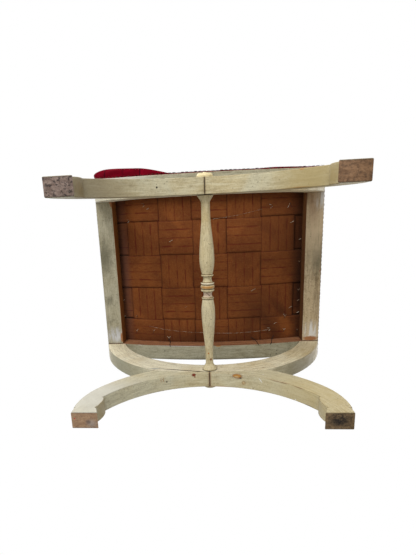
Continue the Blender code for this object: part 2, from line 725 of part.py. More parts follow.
def sheet(name, x_stations, y_stations, height, thickness, finish):
    """A thin sheet on given places in X and Y, whose middle lies at a height function."""
    bm = bmesh.new()
    bmesh.ops.create_grid(bm, x_segments=len(x_stations) - 1,
                          y_segments=len(y_stations) - 1, size=1)
    for vert in bm.verts:
        x = station_at(x_stations, vert.co.x)
        y = station_at(y_stations, vert.co.y)
        vert.co = (x, y, height(x, y))
    piece = add_object(name, mesh_from(name, bm), finish)
    wall = piece.modifiers.new("thickness", "SOLIDIFY")
    wall.thickness = thickness
    wall.offset = 0
    wall.use_even_offset = True
    return piece


def nearest(places, value):
    """The index of the place closest to a value."""
    return min(range(len(places)), key=lambda index: abs(places[index] - value))


def build_webbing():
    """Strips each way, woven over and under, following the dish of the rails."""
    columns = web_columns()
    rows = web_rows()
    column_half = (WEB_COLUMN_PITCH - WEB_GAP) / 2
    row_half = (WEB_ROW_PITCH - WEB_GAP) / 2
    for index, middle in enumerate(columns):
        stations = [column_ends()[0]]
        for y in rows:
            stations += [y - row_half, y + row_half]
        stations.append(column_ends()[1])

        def column_height(x, y, index=index):
            over = 1 if (index + nearest(rows, y)) % 2 == 0 else -1
            return seat_line(x) + WEB_BASE + over * WEB_LEVEL

        sheet(f"webbing_column_{index + 1}", [middle - column_half, middle, middle + column_half],
              stations, column_height, WEB_THICKNESS, JUTE)
    for index, middle in enumerate(rows):

        def row_height(x, y, index=index):
            over = -1 if (index + nearest(columns, x)) % 2 == 0 else 1
            return seat_line(x) + WEB_BASE + over * WEB_LEVEL

        sheet(f"webbing_row_{index + 1}", seat_stations(row_ends()[1]),
              [middle - row_half, middle + row_half], row_height, WEB_THICKNESS, JUTE)


def build_hessian():
    """The hessian that lies over the webbing and carries the stuffing."""
    reach_x = SEAT_WIDTH / 2 - HESSIAN_MARGIN
    reach_y = SEAT_DEPTH / 2 - HESSIAN_MARGIN
    sheet("hessian", seat_stations(reach_x), [-reach_y, 0, reach_y],
          lambda x, y: seat_line(x) + HESSIAN_BASE, HESSIAN_THICKNESS, HESSIAN)


def front_bulge(x):
    """How far the stuffing stands out past the front and rear rails at x."""
    share = smooth_share(abs(x), BULGE_FLAT, BULGE_FULL)
    return FRONT_BULGE_MIDDLE + (FRONT_BULGE_ENDS - FRONT_BULGE_MIDDLE) * share


def crown_height(x, y):
    """Height of the stuffing above the dished line of the rails."""
    along = abs(x) / (SEAT_WIDTH / 2)
    across = abs(y) / (SEAT_DEPTH / 2)
    rise = CROWN_MIDDLE + (CROWN_ENDS - CROWN_MIDDLE) * smooth_share(along, 0, 1)
    edge = 1 - (1 - along ** 6) * (1 - across ** 6)
    return rise - EDGE_FALL * edge


def pad_point(x, y, level):
    """Where a point of the plain block goes on the stuffed seat; level is 0 below, 1 on top."""
    level = max(level, 0)
    out = PAD_OUT_SHARES[nearest(PAD_LEVEL_SHARES, level)]
    share_x = 2 * x / SEAT_WIDTH
    share_y = 2 * y / SEAT_DEPTH
    pull = CORNER_PULL * min(level / PAD_LEVEL_SHARES[1], 1) * (share_x * share_y) ** 10
    side_out = SIDE_BULGE * out
    front_out = front_bulge(x) * out
    moved_x = x + share_x ** 5 * side_out - math.copysign(pull, x)
    moved_y = y + share_y ** 5 * front_out - math.copysign(pull, y)
    low = seat_line(x) + PAD_BASE
    high = seat_line(x) + crown_height(x, y)
    return moved_x, moved_y, low + (high - low) * level


def block_grid(x_stations, y_stations, levels):
    """A block whose faces are cut at every station, with its levels as heights."""
    bm = bmesh.new()
    bmesh.ops.create_cube(bm, size=1)
    spans = [(stations[0], stations[-1]) for stations in (x_stations, y_stations, levels)]
    bmesh.ops.scale(bm, vec=[high - low for low, high in spans], verts=bm.verts)
    bmesh.ops.translate(bm, vec=[(high + low) / 2 for low, high in spans], verts=bm.verts)
    for axis, stations in enumerate((x_stations, y_stations, levels)):
        normal = Vector((0, 0, 0))
        normal[axis] = 1
        for station in stations[1:-1]:
            everything = bm.verts[:] + bm.edges[:] + bm.faces[:]
            bmesh.ops.bisect_plane(bm, geom=everything, dist=WELD, plane_co=normal * station,
                                   plane_no=normal)
    return bm


def pad_stations():
    """The places in X and in Y where the stuffed seat is shaped."""
    edge = PAD_EDGE_SHARE * SEAT_WIDTH / 2
    x_stations = sorted([*seat_stations(SEAT_WIDTH / 2), -edge, edge])
    y_stations = [share * SEAT_DEPTH / 2 for share in PAD_ACROSS_SHARES]
    return x_stations, y_stations


def build_stuffing():
    """The hair stuffing: a crowned, dished cushion that swells past the rails."""
    bm = block_grid(*pad_stations(), PAD_LEVEL_SHARES)
    for vert in bm.verts:
        vert.co = pad_point(*vert.co)
    add_object("stuffing", mesh_from("stuffing", bm), HAIR)


def build_velvet():
    """The velvet cover, over the stuffing and down the rails to the line of nails."""
    hem_level = -1
    bm = block_grid(*pad_stations(), (hem_level, *PAD_LEVEL_SHARES))
    floor = [face for face in bm.faces if face.calc_center_median().z < hem_level + WELD]
    bmesh.ops.delete(bm, geom=floor, context="FACES")
    hems = [vert for vert in bm.verts if vert.co.z < hem_level + WELD]
    heights = {vert: underside_line(vert.co.x) + VELVET_HEM for vert in hems}
    for vert in bm.verts:
        vert.co = pad_point(*vert.co)
    for vert, height in heights.items():
        vert.co.z = height
    bm.normal_update()
    moves = {vert: vert.normal * FIT_GAP / max(vert.calc_shell_factor(), 0.5) for vert in bm.verts}
    for vert, move in moves.items():
        vert.co += move
    cover = add_object("velvet_cover", mesh_from("velvet_cover", bm), VELVET)
    wall = cover.modifiers.new("thickness", "SOLIDIFY")
    wall.thickness = VELVET_THICKNESS
    wall.offset = 1
    wall.use_even_offset = True


clear_scene()
stool = make_collection("curule_stool")
cutters = make_collection("curule_stool_cutters")
build_frames()
build_end_rails()
build_side_rails()
build_dowels()
build_stretcher()
build_rosettes()
build_webbing()
build_hessian()
build_stuffing()
build_velvet()
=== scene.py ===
"""The looks of a curule stool: aged cream paint, jute webbing, crimson velvet and its nails.

Metres, with +Z up and the front of the stool towards -Y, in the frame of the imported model.
Colours of three values are display colours, from 0 to 255.
"""

from __future__ import annotations

import json
import logging
import math
import random
from collections.abc import Callable
from dataclasses import dataclass
from enum import Enum

import bmesh
import bpy
from mathutils import Euler, Matrix, Vector, noise

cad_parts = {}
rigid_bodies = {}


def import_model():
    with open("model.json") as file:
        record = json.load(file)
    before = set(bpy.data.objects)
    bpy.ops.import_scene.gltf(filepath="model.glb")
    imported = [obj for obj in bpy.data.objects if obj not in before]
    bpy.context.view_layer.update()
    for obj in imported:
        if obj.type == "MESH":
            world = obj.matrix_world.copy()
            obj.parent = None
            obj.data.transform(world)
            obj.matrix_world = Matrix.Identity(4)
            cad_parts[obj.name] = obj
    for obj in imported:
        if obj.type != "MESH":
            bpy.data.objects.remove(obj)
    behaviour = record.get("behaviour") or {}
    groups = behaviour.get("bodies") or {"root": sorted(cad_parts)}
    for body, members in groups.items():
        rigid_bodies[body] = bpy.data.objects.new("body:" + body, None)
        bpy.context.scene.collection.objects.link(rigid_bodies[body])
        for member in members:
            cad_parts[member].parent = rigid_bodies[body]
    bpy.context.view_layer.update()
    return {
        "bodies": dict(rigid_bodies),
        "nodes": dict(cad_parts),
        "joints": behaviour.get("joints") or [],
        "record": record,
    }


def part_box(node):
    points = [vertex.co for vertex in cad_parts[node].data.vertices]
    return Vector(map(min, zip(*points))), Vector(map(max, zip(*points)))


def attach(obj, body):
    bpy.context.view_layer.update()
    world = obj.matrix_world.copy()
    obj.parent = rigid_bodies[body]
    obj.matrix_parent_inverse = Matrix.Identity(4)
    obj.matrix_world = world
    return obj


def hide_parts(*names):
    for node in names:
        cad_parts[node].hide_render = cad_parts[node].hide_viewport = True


log = logging.getLogger("curule_stool")

Shape = bmesh.types.BMesh
Material = bpy.types.Material
Piece = bpy.types.Object
Socket = bpy.types.NodeSocket
Colour = tuple[float, ...]
Place = tuple[float, float, float]
Profile = list[tuple[float, float]]

WELD = 0.00001
CROSSING_Y = 0.0085
PEG_OFFSET = 0.072
SEAT_UNDERSIDE = 0.398
ROUND = (1, 1, 1)
RIM_WAVES = 2.2
RIM_REACH = 1.42
FACING_RANGE = (0.3, 0.6)
EDGE_SAMPLES = 6


def linear(colour: Colour) -> Colour:
    """A display colour, as linear light from 0 to 1."""
    channels = [value / 255 for value in colour]
    return tuple(c / 12.92 if c <= 0.04045 else ((c + 0.055) / 1.055) ** 2.4 for c in channels)


def soft_step(value: float, low: float, high: float) -> float:
    """Rises smoothly from 0 at low to 1 at high."""
    share = min(1.0, max(0.0, (value - low) / (high - low)))
    return share * share * (3 - 2 * share)


def shares(count: int) -> list[float]:
    """The shares from 0 to 1, in this many even steps."""
    return [step / count for step in range(count + 1)]


class Sharp(Enum):
    """The angle in degrees above which the edges of a kind of piece stay sharp."""

    TACK = 30.0
    PEG = 40.0
    TURNING = 50.0
    CLOTH = 60.0
    BOARD = 62.0
    DOME = 80.0


class End(Enum):
    """The two ends of the stool, by their direction along Y."""

    FRONT = -1
    REAR = 1


class Side(Enum):
    """The two sides of the stool, by their direction along X."""

    LEFT = -1
    RIGHT = 1


@dataclass(frozen=True)
class Mark:
    """One place of wear or damage: where it is, how large, its colour and how ragged its rim.

    It is drawn out by stretch, then turned, in degrees. A broken mark is left out between the
    brush marks or specks. One with a facing shows only on the faces that look that way.
    """

    place: Place
    radius: float
    colour: Colour
    stretch: Place = ROUND
    softness: float = 0.15
    strength: float = 1.0
    turn: Place = (0, 0, 0)
    broken: float = 0.0
    facing: Place | None = None


class TreeSketch:
    """Adds and joins the nodes of one node tree."""

    def __init__(self, tree: bpy.types.NodeTree) -> None:
        """Takes the tree to draw in."""
        self.tree = tree

    def feed(self, socket: Socket, value: object) -> None:
        """Joins a socket to another one, or sets it to a value.

        Args:
            socket: The input to feed.
            value: The socket that feeds it, a plain value or a display colour.
        """
        if isinstance(value, Socket):
            self.tree.links.new(value, socket)
        elif isinstance(value, tuple) and len(value) == 3 and socket.type == "RGBA":
            socket.default_value = (*linear(value), 1.0)
        else:
            socket.default_value = value

    def node(self, kind: str, inputs: dict[str | int, object] | None = None,
             **settings: object) -> bpy.types.Node:
        """Adds a node.

        Args:
            kind: The node's type name, without the words that all of them start with.
            inputs: The values or sockets of its inputs, by their name or number.
            settings: Properties to set on it.

        Returns:
            The new node.
        """
        made = self.tree.nodes.new(f"ShaderNode{kind}")
        for name, value in settings.items():
            setattr(made, name, value)
        for name, value in (inputs or {}).items():
            self.feed(made.inputs[name], value)
        return made

    def maths(self, operation: str, *values: object) -> Socket:
        """Works out one sum of numbers or sockets."""
        return self.node("Math", dict(enumerate(values)), operation=operation).outputs[0]

    def product(self, first: object, second: object) -> Socket:
        """Multiplies two numbers or sockets."""
        return self.maths("MULTIPLY", first, second)


class FinishSketch(TreeSketch):
    """Builds one material around its Principled shader, from patterns in Object coordinates."""

    def __init__(self, name: str) -> None:
        """Starts a material.

        Args:
            name: The material's name.
        """
        self.material = bpy.data.materials.new(name)
        self.material.use_nodes = True
        super().__init__(self.material.node_tree)
        self.shader = self.tree.nodes["Principled BSDF"]
        self.coordinates = self.node("TexCoord").outputs["Object"]

    def split(self, source: Socket | None = None) -> list[Socket]:
        """Takes coordinates apart into X, Y and Z."""
        return list(self.node("SeparateXYZ", {0: source or self.coordinates}).outputs)

    def stretched(self, stretch: Place, source: Socket | None = None) -> Socket:
        """Scales coordinates unevenly."""
        scaled = {"Vector": source or self.coordinates, "Scale": stretch}
        return self.node("Mapping", scaled).outputs[0]

    def grain(self, scale: float, detail: float = 4.0, source: Socket | None = None,
              roughness: float = 0.55, warp: float = 0.0) -> Socket:
        """Adds a noise pattern.

        Args:
            scale: How many waves fit in a metre.
            detail: How many finer layers it has.
            source: Its coordinates, or None for Object coordinates.
            roughness: How strong the finer layers are.
            warp: How far the pattern is twisted.

        Returns:
            The pattern, about 0 to 1.
        """
        return self.node("TexNoise", {
            "Vector": source or self.coordinates, "Scale": scale, "Detail": detail,
            "Roughness": roughness, "Distortion": warp}).outputs["Fac"]

    def band(self, value: Socket, low: float, high: float, start: float = 0.0,
             end: float = 1.0) -> Socket:
        """Maps a value smoothly, so that low becomes start and high becomes end."""
        ranges = {"Value": value, "From Min": low, "From Max": high, "To Min": start, "To Max": end}
        return self.node("MapRange", ranges, interpolation_type="SMOOTHSTEP").outputs["Result"]

    def blend(self, share: object, first: object, second: object) -> Socket:
        """Mixes two colours, with this share of the second."""
        return self.node("Mix", {0: share, 6: first, 7: second}, data_type="RGBA").outputs[2]

    def tinted(self, colour: object, tint: object, pattern: Socket, low: float, high: float,
               strength: float = 1.0) -> Socket:
        """Lays a tint over a colour where a pattern goes from low to high."""
        return self.blend(self.band(pattern, low, high, 0.0, strength), colour, tint)

    def dot(self, first: object, second: object) -> Socket:
        """How far two directions agree, up to 1."""
        return self.node("VectorMath", {0: first, 1: second}, operation="DOT_PRODUCT").outputs["Value"]

    def diagonal(self, first: Socket, second: Socket) -> Socket:
        """The length of a line from its two sides."""
        squares = [self.product(side, side) for side in (first, second)]
        return self.maths("SQRT", self.maths("ADD", *squares))

    def arris(self, radius: float) -> Socket:
        """Finds the edges of a piece.

        Args:
            radius: How far from an edge the pattern reaches.

        Returns:
            The pattern: 0 on a flat face, rising towards an edge.
        """
        rounded = self.node("Bevel", {"Radius": radius}, samples=EDGE_SAMPLES).outputs["Normal"]
        true = self.node("NewGeometry").outputs["Normal"]
        return self.maths("SUBTRACT", 1.0, self.dot(rounded, true))

    def crevice(self, distance: float) -> Socket:
        """Finds the corners and joints where dust gathers: 0 in the open, 1 deep inside."""
        made = self.node("AmbientOcclusion", {"Distance": distance}, samples=EDGE_SAMPLES)
        return self.maths("SUBTRACT", 1.0, made.outputs["AO"])

    def spot(self, mark: Mark) -> Socket:
        """Masks one mark, with a ragged rim.

        Args:
            mark: The mark.

        Returns:
            The mask: the mark's strength inside it, 0 outside.
        """
        moved = self.node("Mapping", {
            "Vector": self.coordinates, "Location": mark.place, "Scale": mark.stretch,
            "Rotation": [math.radians(angle) for angle in mark.turn]}, vector_type="TEXTURE")
        away = self.node("VectorMath", {0: moved.outputs[0]}, operation="LENGTH").outputs["Value"]
        ragged = self.product(self.grain(RIM_WAVES / mark.radius, roughness=0.7), mark.radius)
        rim, soft = mark.radius * RIM_REACH, mark.radius * mark.softness
        inside = self.band(self.maths("ADD", away, ragged), rim - soft, rim + soft, mark.strength, 0.0)
        if mark.facing:
            facing = self.dot(self.node("NewGeometry").outputs["True Normal"], mark.facing)
            inside = self.product(inside, self.band(facing, *FACING_RANGE))
        return inside

    def marked(self, colour: Socket, marks: tuple[Mark, ...], gaps: Socket | None = None,
               closed: float = 0.0, clear: float = 1.0) -> Socket:
        """Lays marks over a colour.

        Args:
            colour: The colour below them.
            marks: The marks, the lowest first.
            gaps: The pattern that breaks up a broken mark.
            closed: Where the pattern leaves such a mark out.
            clear: Where it lets the mark through.

        Returns:
            The marked colour.
        """
        for mark in marks:
            mask = self.spot(mark)
            if mark.broken:
                mask = self.product(mask, self.band(gaps, closed, clear, 1.0 - mark.broken, 1.0))
            colour = self.blend(mask, colour, mark.colour)
        return colour

    def finish(self, colour: Socket, roughness: object, height: Socket, strength: float,
               depth: float, specular: float = 0.5) -> Material:
        """Joins everything to the shader.

        Args:
            colour: The finish's colour.
            roughness: Its roughness.
            height: The pattern of its relief.
            strength: How strongly the relief shows.
            depth: How deep the relief is.
            specular: How much a bare face reflects.

        Returns:
            The material.
        """
        bump = self.node("Bump", {"Strength": strength, "Distance": depth, "Height": height})
        made = {"Base Color": colour, "Roughness": roughness, "Normal": bump.outputs[0],
                "Specular IOR Level": specular}
        for name, value in made.items():
            self.feed(self.shader.inputs[name], value)
        return self.material


@dataclass(frozen=True)
class AgedPaint:
    """Old brushed oil paint: yellowed in patches, darkened in corners by dust and painted shade, and
    rubbed at its edges.

    Attributes:
        name: The material's name.
        pale: The paint where it has kept its colour.
        yellowed: The paint where its oil has darkened.
        grime: Dirt in the brush marks and pits.
        rubbed: The wood that shows where an edge is worn through.
        along: How far the brush marks are drawn out along each axis.
        dirt: How strong the dirt is.
        wear: How much of the edges is worn through.
        warm_side: How much yellower the right of the stool is than its left: partly the paint's own tone,
            partly painted warm light.
        roughness: The paint's mean roughness.
        plug: How far from the middle of the stool, along X and Y, its filled pegs are.
        bow: The height of the curved board's centre and its radius, below 0 where it hangs.
        marks: The places of wear that are seen one by one.
        plug_rim: Where the paint starts to show its edges again around a filled peg.
        dust_and_shade_reach: How far the dust and the painted shade reach out of a corner.
        worn_reach: How far from an edge it is rubbed.
        depth: How deep the brush marks are.
    """

    name: str
    pale: Colour
    yellowed: Colour
    grime: Colour
    rubbed: Colour
    along: Place = (0.1, 1.0, 1.0)
    dirt: float = 0.4
    wear: float = 0.75
    warm_side: float = 0.35
    roughness: float = 0.5
    plug: tuple[float, float] | None = None
    bow: tuple[float, float] | None = None
    marks: tuple[Mark, ...] = ()
    plug_rim: tuple[float, float] = (0.0078, 0.0092)
    dust_and_shade_reach: float = 0.006
    worn_reach: float = 0.0026
    depth: float = 0.0007

    def bent(self, sketch: FinishSketch, parts: list[Socket]) -> Socket:
        """Makes coordinates that follow a curved board, as its brush marks do.

        Args:
            sketch: The material.
            parts: The coordinates along X, Y and Z.

        Returns:
            The coordinates along, across and out from the board.
        """
        centre, radius = self.bow
        rise = sketch.product(sketch.maths("SUBTRACT", parts[2], centre), math.copysign(1, radius))
        along = sketch.product(sketch.maths("ARCTAN2", parts[0], rise), abs(radius))
        out = sketch.diagonal(parts[0], rise)
        return sketch.node("CombineXYZ", {0: along, 1: parts[1], 2: out}).outputs[0]

    def unfilled(self, sketch: FinishSketch, parts: list[Socket]) -> Socket:
        """Leaves out the filled pegs.

        Args:
            sketch: The material.
            parts: The coordinates along X, Y and Z.

        Returns:
            The mask: 0 over the pegs, 1 elsewhere.
        """
        off_x = sketch.maths("SUBTRACT", sketch.maths("ABSOLUTE", parts[0]), self.plug[0])
        off_y = sketch.maths("ABSOLUTE", sketch.maths("SUBTRACT", parts[1], CROSSING_Y))
        away = sketch.diagonal(off_x, sketch.maths("SUBTRACT", off_y, self.plug[1]))
        return sketch.band(away, *self.plug_rim)

    def build(self) -> Material:
        """Makes the paint's material: clouds, dirt, dust and painted shade in the corners, worn edges and
        marks, in that order.

        Returns:
            The material.
        """
        sketch = FinishSketch(self.name)
        parts = sketch.split()
        clouds = sketch.band(sketch.grain(9.0, 6.0, roughness=0.6, warp=0.5), 0.34, 0.68, 0.0, 0.8)
        # The right of the stool is made yellower: partly the paint's own tone, partly painted warm light
        # falling on that side.
        side = sketch.band(parts[0], -0.24, 0.24, -self.warm_side, self.warm_side)
        yellowing_and_warm_light = sketch.node("Math", {0: clouds, 1: side}, operation="ADD", use_clamp=True)
        colour = sketch.blend(yellowing_and_warm_light.outputs[0], self.pale, self.yellowed)
        lifted = (*(min(1.0, channel * 1.25 + 0.02) for channel in linear(self.pale)), 1.0)
        mottle = sketch.grain(32.0, 8.0, roughness=0.7, warp=0.8)
        speckle = sketch.grain(300.0, roughness=0.75)
        run = sketch.stretched(self.along, self.bent(sketch, parts) if self.bow else None)
        brush = sketch.grain(170.0, 5.0, run, 0.65)
        streaks = sketch.grain(430.0, 4.0, run, 0.7)
        for pattern, clean, foul in ((mottle, 0.0, 0.7), (speckle, 0.25, 1.0), (brush, 0.35, 0.7),
                                     (streaks, 0.35, 0.75)):
            colour = sketch.tinted(colour, lifted, pattern, 0.5, 0.35, clean)
            colour = sketch.tinted(colour, self.grime, pattern, 0.51, 0.69, self.dirt * foul)
        # Painted shade mixed with dust: darker in corners and joints, found by ambient occlusion.
        corners = sketch.band(sketch.crevice(self.dust_and_shade_reach), 0.2, 0.8, 0.0, 0.85)
        edge = sketch.arris(self.worn_reach)
        if self.plug:
            clear = self.unfilled(sketch, parts)
            corners, edge = sketch.product(corners, clear), sketch.product(edge, clear)
        colour = sketch.blend(corners, colour, (74, 58, 38))
        patches = sketch.band(sketch.grain(64.0, 6.0, roughness=0.7), 0.44, 0.6)
        rub = sketch.product(sketch.band(edge, 0.010, 0.09, 0.0, self.wear), patches)
        colour = sketch.tinted(colour, (98, 76, 48), edge, 0.012, 0.14, 0.55)
        colour = sketch.blend(rub, colour, self.rubbed)
        colour = sketch.tinted(colour, (70, 50, 32), sketch.grain(290.0, 2.0), 0.69, 0.73, 0.8)
        colour = sketch.marked(colour, self.marks, brush, 0.46, 0.54)
        gloss = sketch.band(mottle, 0.3, 0.75, self.roughness - 0.08, self.roughness + 0.18)
        brushed = sketch.maths("ADD", sketch.product(brush, 1.5), streaks)
        relief = sketch.maths("SUBTRACT", brushed, rub)
        return sketch.finish(colour, gloss, relief, 0.4, self.depth, specular=0.35)


@dataclass(frozen=True)
class BareWood:
    """Unpainted wood with its grain and pores, darkened by handling, specked with dust and given painted
    shade in its corners.
    """

    name: str
    light: Colour
    dark: Colour
    soot: Colour
    stain: float = 0.4
    grain_scale: Place = (1.0, 1.0, 1.0)
    # How strongly painted shade darkens the corners.
    corners: float = 0.8
    specks: float = 0.2
    marks: tuple[Mark, ...] = ()

    def build(self) -> Material:
        """Makes the wood's material.

        Returns:
            The material.
        """
        sketch = FinishSketch(self.name)
        along = sketch.stretched(self.grain_scale)
        rings = sketch.grain(120.0, 6.0, along, 0.7, 1.2)
        pores = sketch.grain(520.0, 3.0, along, 0.6)
        blots = sketch.grain(62.0, 5.0, roughness=0.65, warp=1.0)
        specks = sketch.grain(190.0, 3.0, roughness=0.6)
        dust = sketch.grain(260.0, roughness=0.8)
        colour = sketch.tinted(self.light, self.dark, rings, 0.34, 0.68)
        colour = sketch.tinted(colour, self.soot, pores, 0.58, 0.75, 0.6)
        colour = sketch.tinted(colour, self.soot, blots, 0.5, 0.7, self.stain)
        colour = sketch.tinted(colour, self.soot, specks, 0.52, 0.6, self.specks)
        colour = sketch.tinted(colour, (206, 192, 172), dust, 0.6, 0.74, self.specks)
        # Painted shade in the corners, in the soot colour, found by ambient occlusion.
        if self.corners:
            colour = sketch.tinted(colour, self.soot, sketch.crevice(0.016), 0.25, 0.8, self.corners)
        colour = sketch.tinted(colour, self.soot, sketch.arris(0.0042), 0.006, 0.06, 0.8)
        colour = sketch.marked(colour, self.marks, dust, 0.56, 0.44)
        roughness = sketch.band(rings, 0.3, 0.7, 0.6, 0.85)
        return sketch.finish(colour, roughness, sketch.maths("ADD", rings, pores), 0.4, 0.0006)


@dataclass(frozen=True)
class StripedJute:
    """Woven jute webbing with thin dark stripes along it, on the strip's own UV in metres."""

    name: str
    bright: Colour
    dull: Colour
    stripe: Colour
    width: float
    marks: tuple[Mark, ...] = ()
    rib_pitch: float = 0.0016
    pick_pitch: float = 0.0014

    def build(self) -> Material:
        """Makes the webbing's material: threads, four wavering stripes, edges and corners darkened as
        painted shade, and marks.

        Returns:
            The material.
        """
        sketch = FinishSketch(self.name)
        cloth = sketch.node("UVMap", uv_map="strip").outputs["UV"]
        across, along, _ = sketch.split(cloth)
        colour = sketch.tinted(self.bright, self.dull, sketch.grain(14.0, 5.0, warp=0.5), 0.35, 0.68)
        threads = sketch.grain(620.0, 4.0, sketch.stretched((1.0, 0.12, 1.0), cloth), 0.6)
        colour = sketch.tinted(colour, self.stripe, threads, 0.46, 0.7, 0.55)
        weft = sketch.grain(420.0, 4.0, sketch.stretched((0.3, 1.0, 1.0), cloth), 0.7)
        colour = sketch.tinted(colour, (150, 98, 58), weft, 0.5, 0.72, 0.5)
        waver = sketch.maths("SUBTRACT", sketch.grain(22.0, 3.0, cloth), 0.5)
        place = sketch.maths("ADD", across, sketch.product(waver, 0.0036))
        quarters = sketch.maths("ADD", sketch.maths("DIVIDE", place, self.width / 4), 40.5)
        off = sketch.maths("SUBTRACT", sketch.maths("FRACT", quarters), 0.5)
        line = sketch.band(sketch.maths("ABSOLUTE", off), 0.02, 0.11, 1.0, 0.0)
        worn = sketch.band(sketch.grain(30.0, 6.0, cloth, 0.65), 0.38, 0.6, 0.85, 0.15)
        colour = sketch.blend(sketch.product(line, worn), colour, self.stripe)
        # Painted shade along the strip's edges, where it meets the next strip.
        shade = sketch.band(sketch.grain(17.0, 3.0), 0.4, 0.62, 0.05, 0.6)
        half = self.width / 2
        rim = sketch.band(sketch.maths("ABSOLUTE", across), half - 0.0020, half - 0.0004)
        colour = sketch.blend(sketch.product(rim, shade), colour, (48, 22, 11))
        # Painted shade in the corners where the webbing meets the rails.
        colour = sketch.tinted(colour, (38, 19, 9), sketch.crevice(0.03), 0.3, 0.9, 0.75)
        colour = sketch.marked(colour, self.marks)
        rib, pick = (sketch.maths("SINE", sketch.product(way, math.tau / pitch))
                     for way, pitch in ((across, self.rib_pitch), (along, self.pick_pitch)))
        weave = sketch.product(sketch.product(rib, pick), 0.35)
        relief = sketch.maths("SUBTRACT", sketch.maths("ADD", weave, threads), line)
        return sketch.finish(colour, 0.92, relief, 0.5, 0.0006, specular=0.2)


@dataclass(frozen=True)
class PlainWeave:
    """Coarse plain-woven cloth."""

    name: str
    thread: Colour
    gap: Colour
    pitch: float = 0.0018

    def build(self) -> Material:
        """Makes the cloth's material.

        Returns:
            The material.
        """
        sketch = FinishSketch(self.name)
        warp, weft = (sketch.maths("SINE", sketch.product(way, math.tau / self.pitch))
                      for way in sketch.split()[:2])
        weave = sketch.product(warp, weft)
        colour = sketch.tinted(self.gap, self.thread, weave, -0.6, 0.8)
        colour = sketch.tinted(colour, self.gap, sketch.grain(160.0), 0.4, 0.75, 0.4)
        return sketch.finish(colour, 0.95, weave, 0.5, 0.0005)


@dataclass(frozen=True)
class SilkVelvet:
    """Short-pile velvet: a deep colour and a lit one, mixed in cloudy patches as painted shade and sheen.
    """

    name: str
    deep: Colour
    lit: Colour
    sheen: Colour
    marks: tuple[Mark, ...] = ()

    def build(self) -> Material:
        """Makes the velvet's material.

        Returns:
            The material.
        """
        sketch = FinishSketch(self.name)
        laid = sketch.grain(16.0, 5.0, sketch.stretched((1.0, 1.6, 1.0)), 0.6, 1.4)
        nap = sketch.grain(900.0, 3.0)
        # Painted shade and sheen: the lit colour where the pattern is high.
        colour = sketch.tinted(self.deep, self.lit, laid, 0.32, 0.7)
        colour = sketch.tinted(colour, self.deep, nap, 0.4, 0.75, 0.3)
        for name, value in (("Weight", 0.09), ("Roughness", 0.45), ("Tint", self.sheen)):
            sketch.feed(sketch.shader.inputs[f"Sheen {name}"], value)
        relief = sketch.maths("ADD", nap, sketch.grain(90.0))
        colour = sketch.marked(colour, self.marks)
        return sketch.finish(colour, 0.85, relief, 0.25, 0.0006, specular=0.05)


@dataclass(frozen=True)
class TwistedTwine:
    """Loose twine, paler and darker along its length."""

    name: str
    pale: Colour
    dark: Colour

    def build(self) -> Material:
        """Makes the twine's material.

        Returns:
            The material.
        """
        sketch = FinishSketch(self.name)
        colour = sketch.tinted(self.pale, self.dark, sketch.grain(130.0), 0.4, 0.62)
        return sketch.finish(colour, 0.85, sketch.grain(700.0, 3.0), 0.4, 0.0003)


@dataclass(frozen=True)
class PaintedMetal:
    """Nail heads under chipped paint, with metal showing at the crowns."""

    name: str
    paint: Colour
    metal: Colour
    bare: float = 0.35

    def build(self) -> Material:
        """Makes the nail heads' material.

        Returns:
            The material.
        """
        sketch = FinishSketch(self.name)
        chips = sketch.band(sketch.grain(150.0, roughness=0.7), 0.56, 0.66, 0.0, self.bare)
        colour = sketch.blend(sketch.grain(40.0), self.paint, (120, 106, 80))
        colour = sketch.blend(chips, colour, self.metal)
        # Painted shade in the crevices round each head.
        colour = sketch.tinted(colour, (62, 48, 36), sketch.crevice(0.005), 0.2, 0.8, 0.7)
        sketch.feed(sketch.shader.inputs["Metallic"], sketch.product(chips, 0.8))
        roughness = sketch.band(chips, 0.0, 1.0, 0.6, 0.42)
        return sketch.finish(colour, roughness, sketch.grain(600.0, 3.0), 0.3, 0.0003)


def dots(colour: Colour, *places: tuple[float, float, float, float]) -> tuple[Mark, ...]:
    """Small round marks of one colour, each from its place and radius."""
    return tuple(Mark((x, y, z), radius, colour) for x, y, z, radius in places)


def rail_mark(x: float, y: float, radius: float, colour: Colour, stretch: tuple[float, float] = (1, 1),
              softness: float = 0.15, strength: float = 1.0, broken: float = 0.0) -> Mark:
    """A mark on the underside of a side rail, stretched along X and Y."""
    return Mark((x, y, SEAT_UNDERSIDE), radius, colour, (*stretch, 1), softness, strength,
                broken=broken)


def stretcher_mark(y: float, radius: float, colour: Colour, stretch: Place, softness: float,
                   strength: float, height: float = 0.2) -> Mark:
    """A mark on the stretcher, at a place along it from its middle."""
    return Mark((0, CROSSING_Y + y, height), radius, colour, stretch, softness, strength)


DARK_HOLE = (36, 26, 18)
AMBER = (188, 130, 56)
CHIP_RIM = (122, 78, 40)
BARE_WOOD = (162, 110, 70)
CHALK = (226, 222, 214)
OLIVE_SMUDGE = (82, 78, 56)
SEAM_SHADOW = (34, 22, 14)
RUST = (124, 54, 32)
ANKLE_LINES = tuple(
    Mark((side.value * 0.2045, y, 0.0612), 0.0009, (104, 82, 46), (1.5, 21, 1.5), 0.5, 0.75)
    for side in Side for y in (-0.195, 0.212))
JOINT_LINES = (
    Mark((-0.06, 0.1958, 0.199), 0.0018, (58, 42, 28), (38, 3, 1), 0.3, turn=(0, 11.3, 0)),
    Mark((0.063, 0.1958, 0.1998), 0.001, (96, 74, 46), (60, 4, 1), 0.5, 0.6, (0, -11.3, 0), 0.4),
)
ARCH_SEAMS = tuple(
    Mark((0, y, 0.182), radius, colour, (1, 24, 6), softness, strength)
    for y, radius, colour, softness, strength in (
        (-0.195, 0.0024, (122, 92, 58), 0.8, 0.6), (-0.195, 0.001, SEAM_SHADOW, 0.4, 1),
        (0.212, 0.0032, (150, 108, 66), 0.8, 0.6), (0.212, 0.0014, (70, 42, 24), 0.5, 1)))

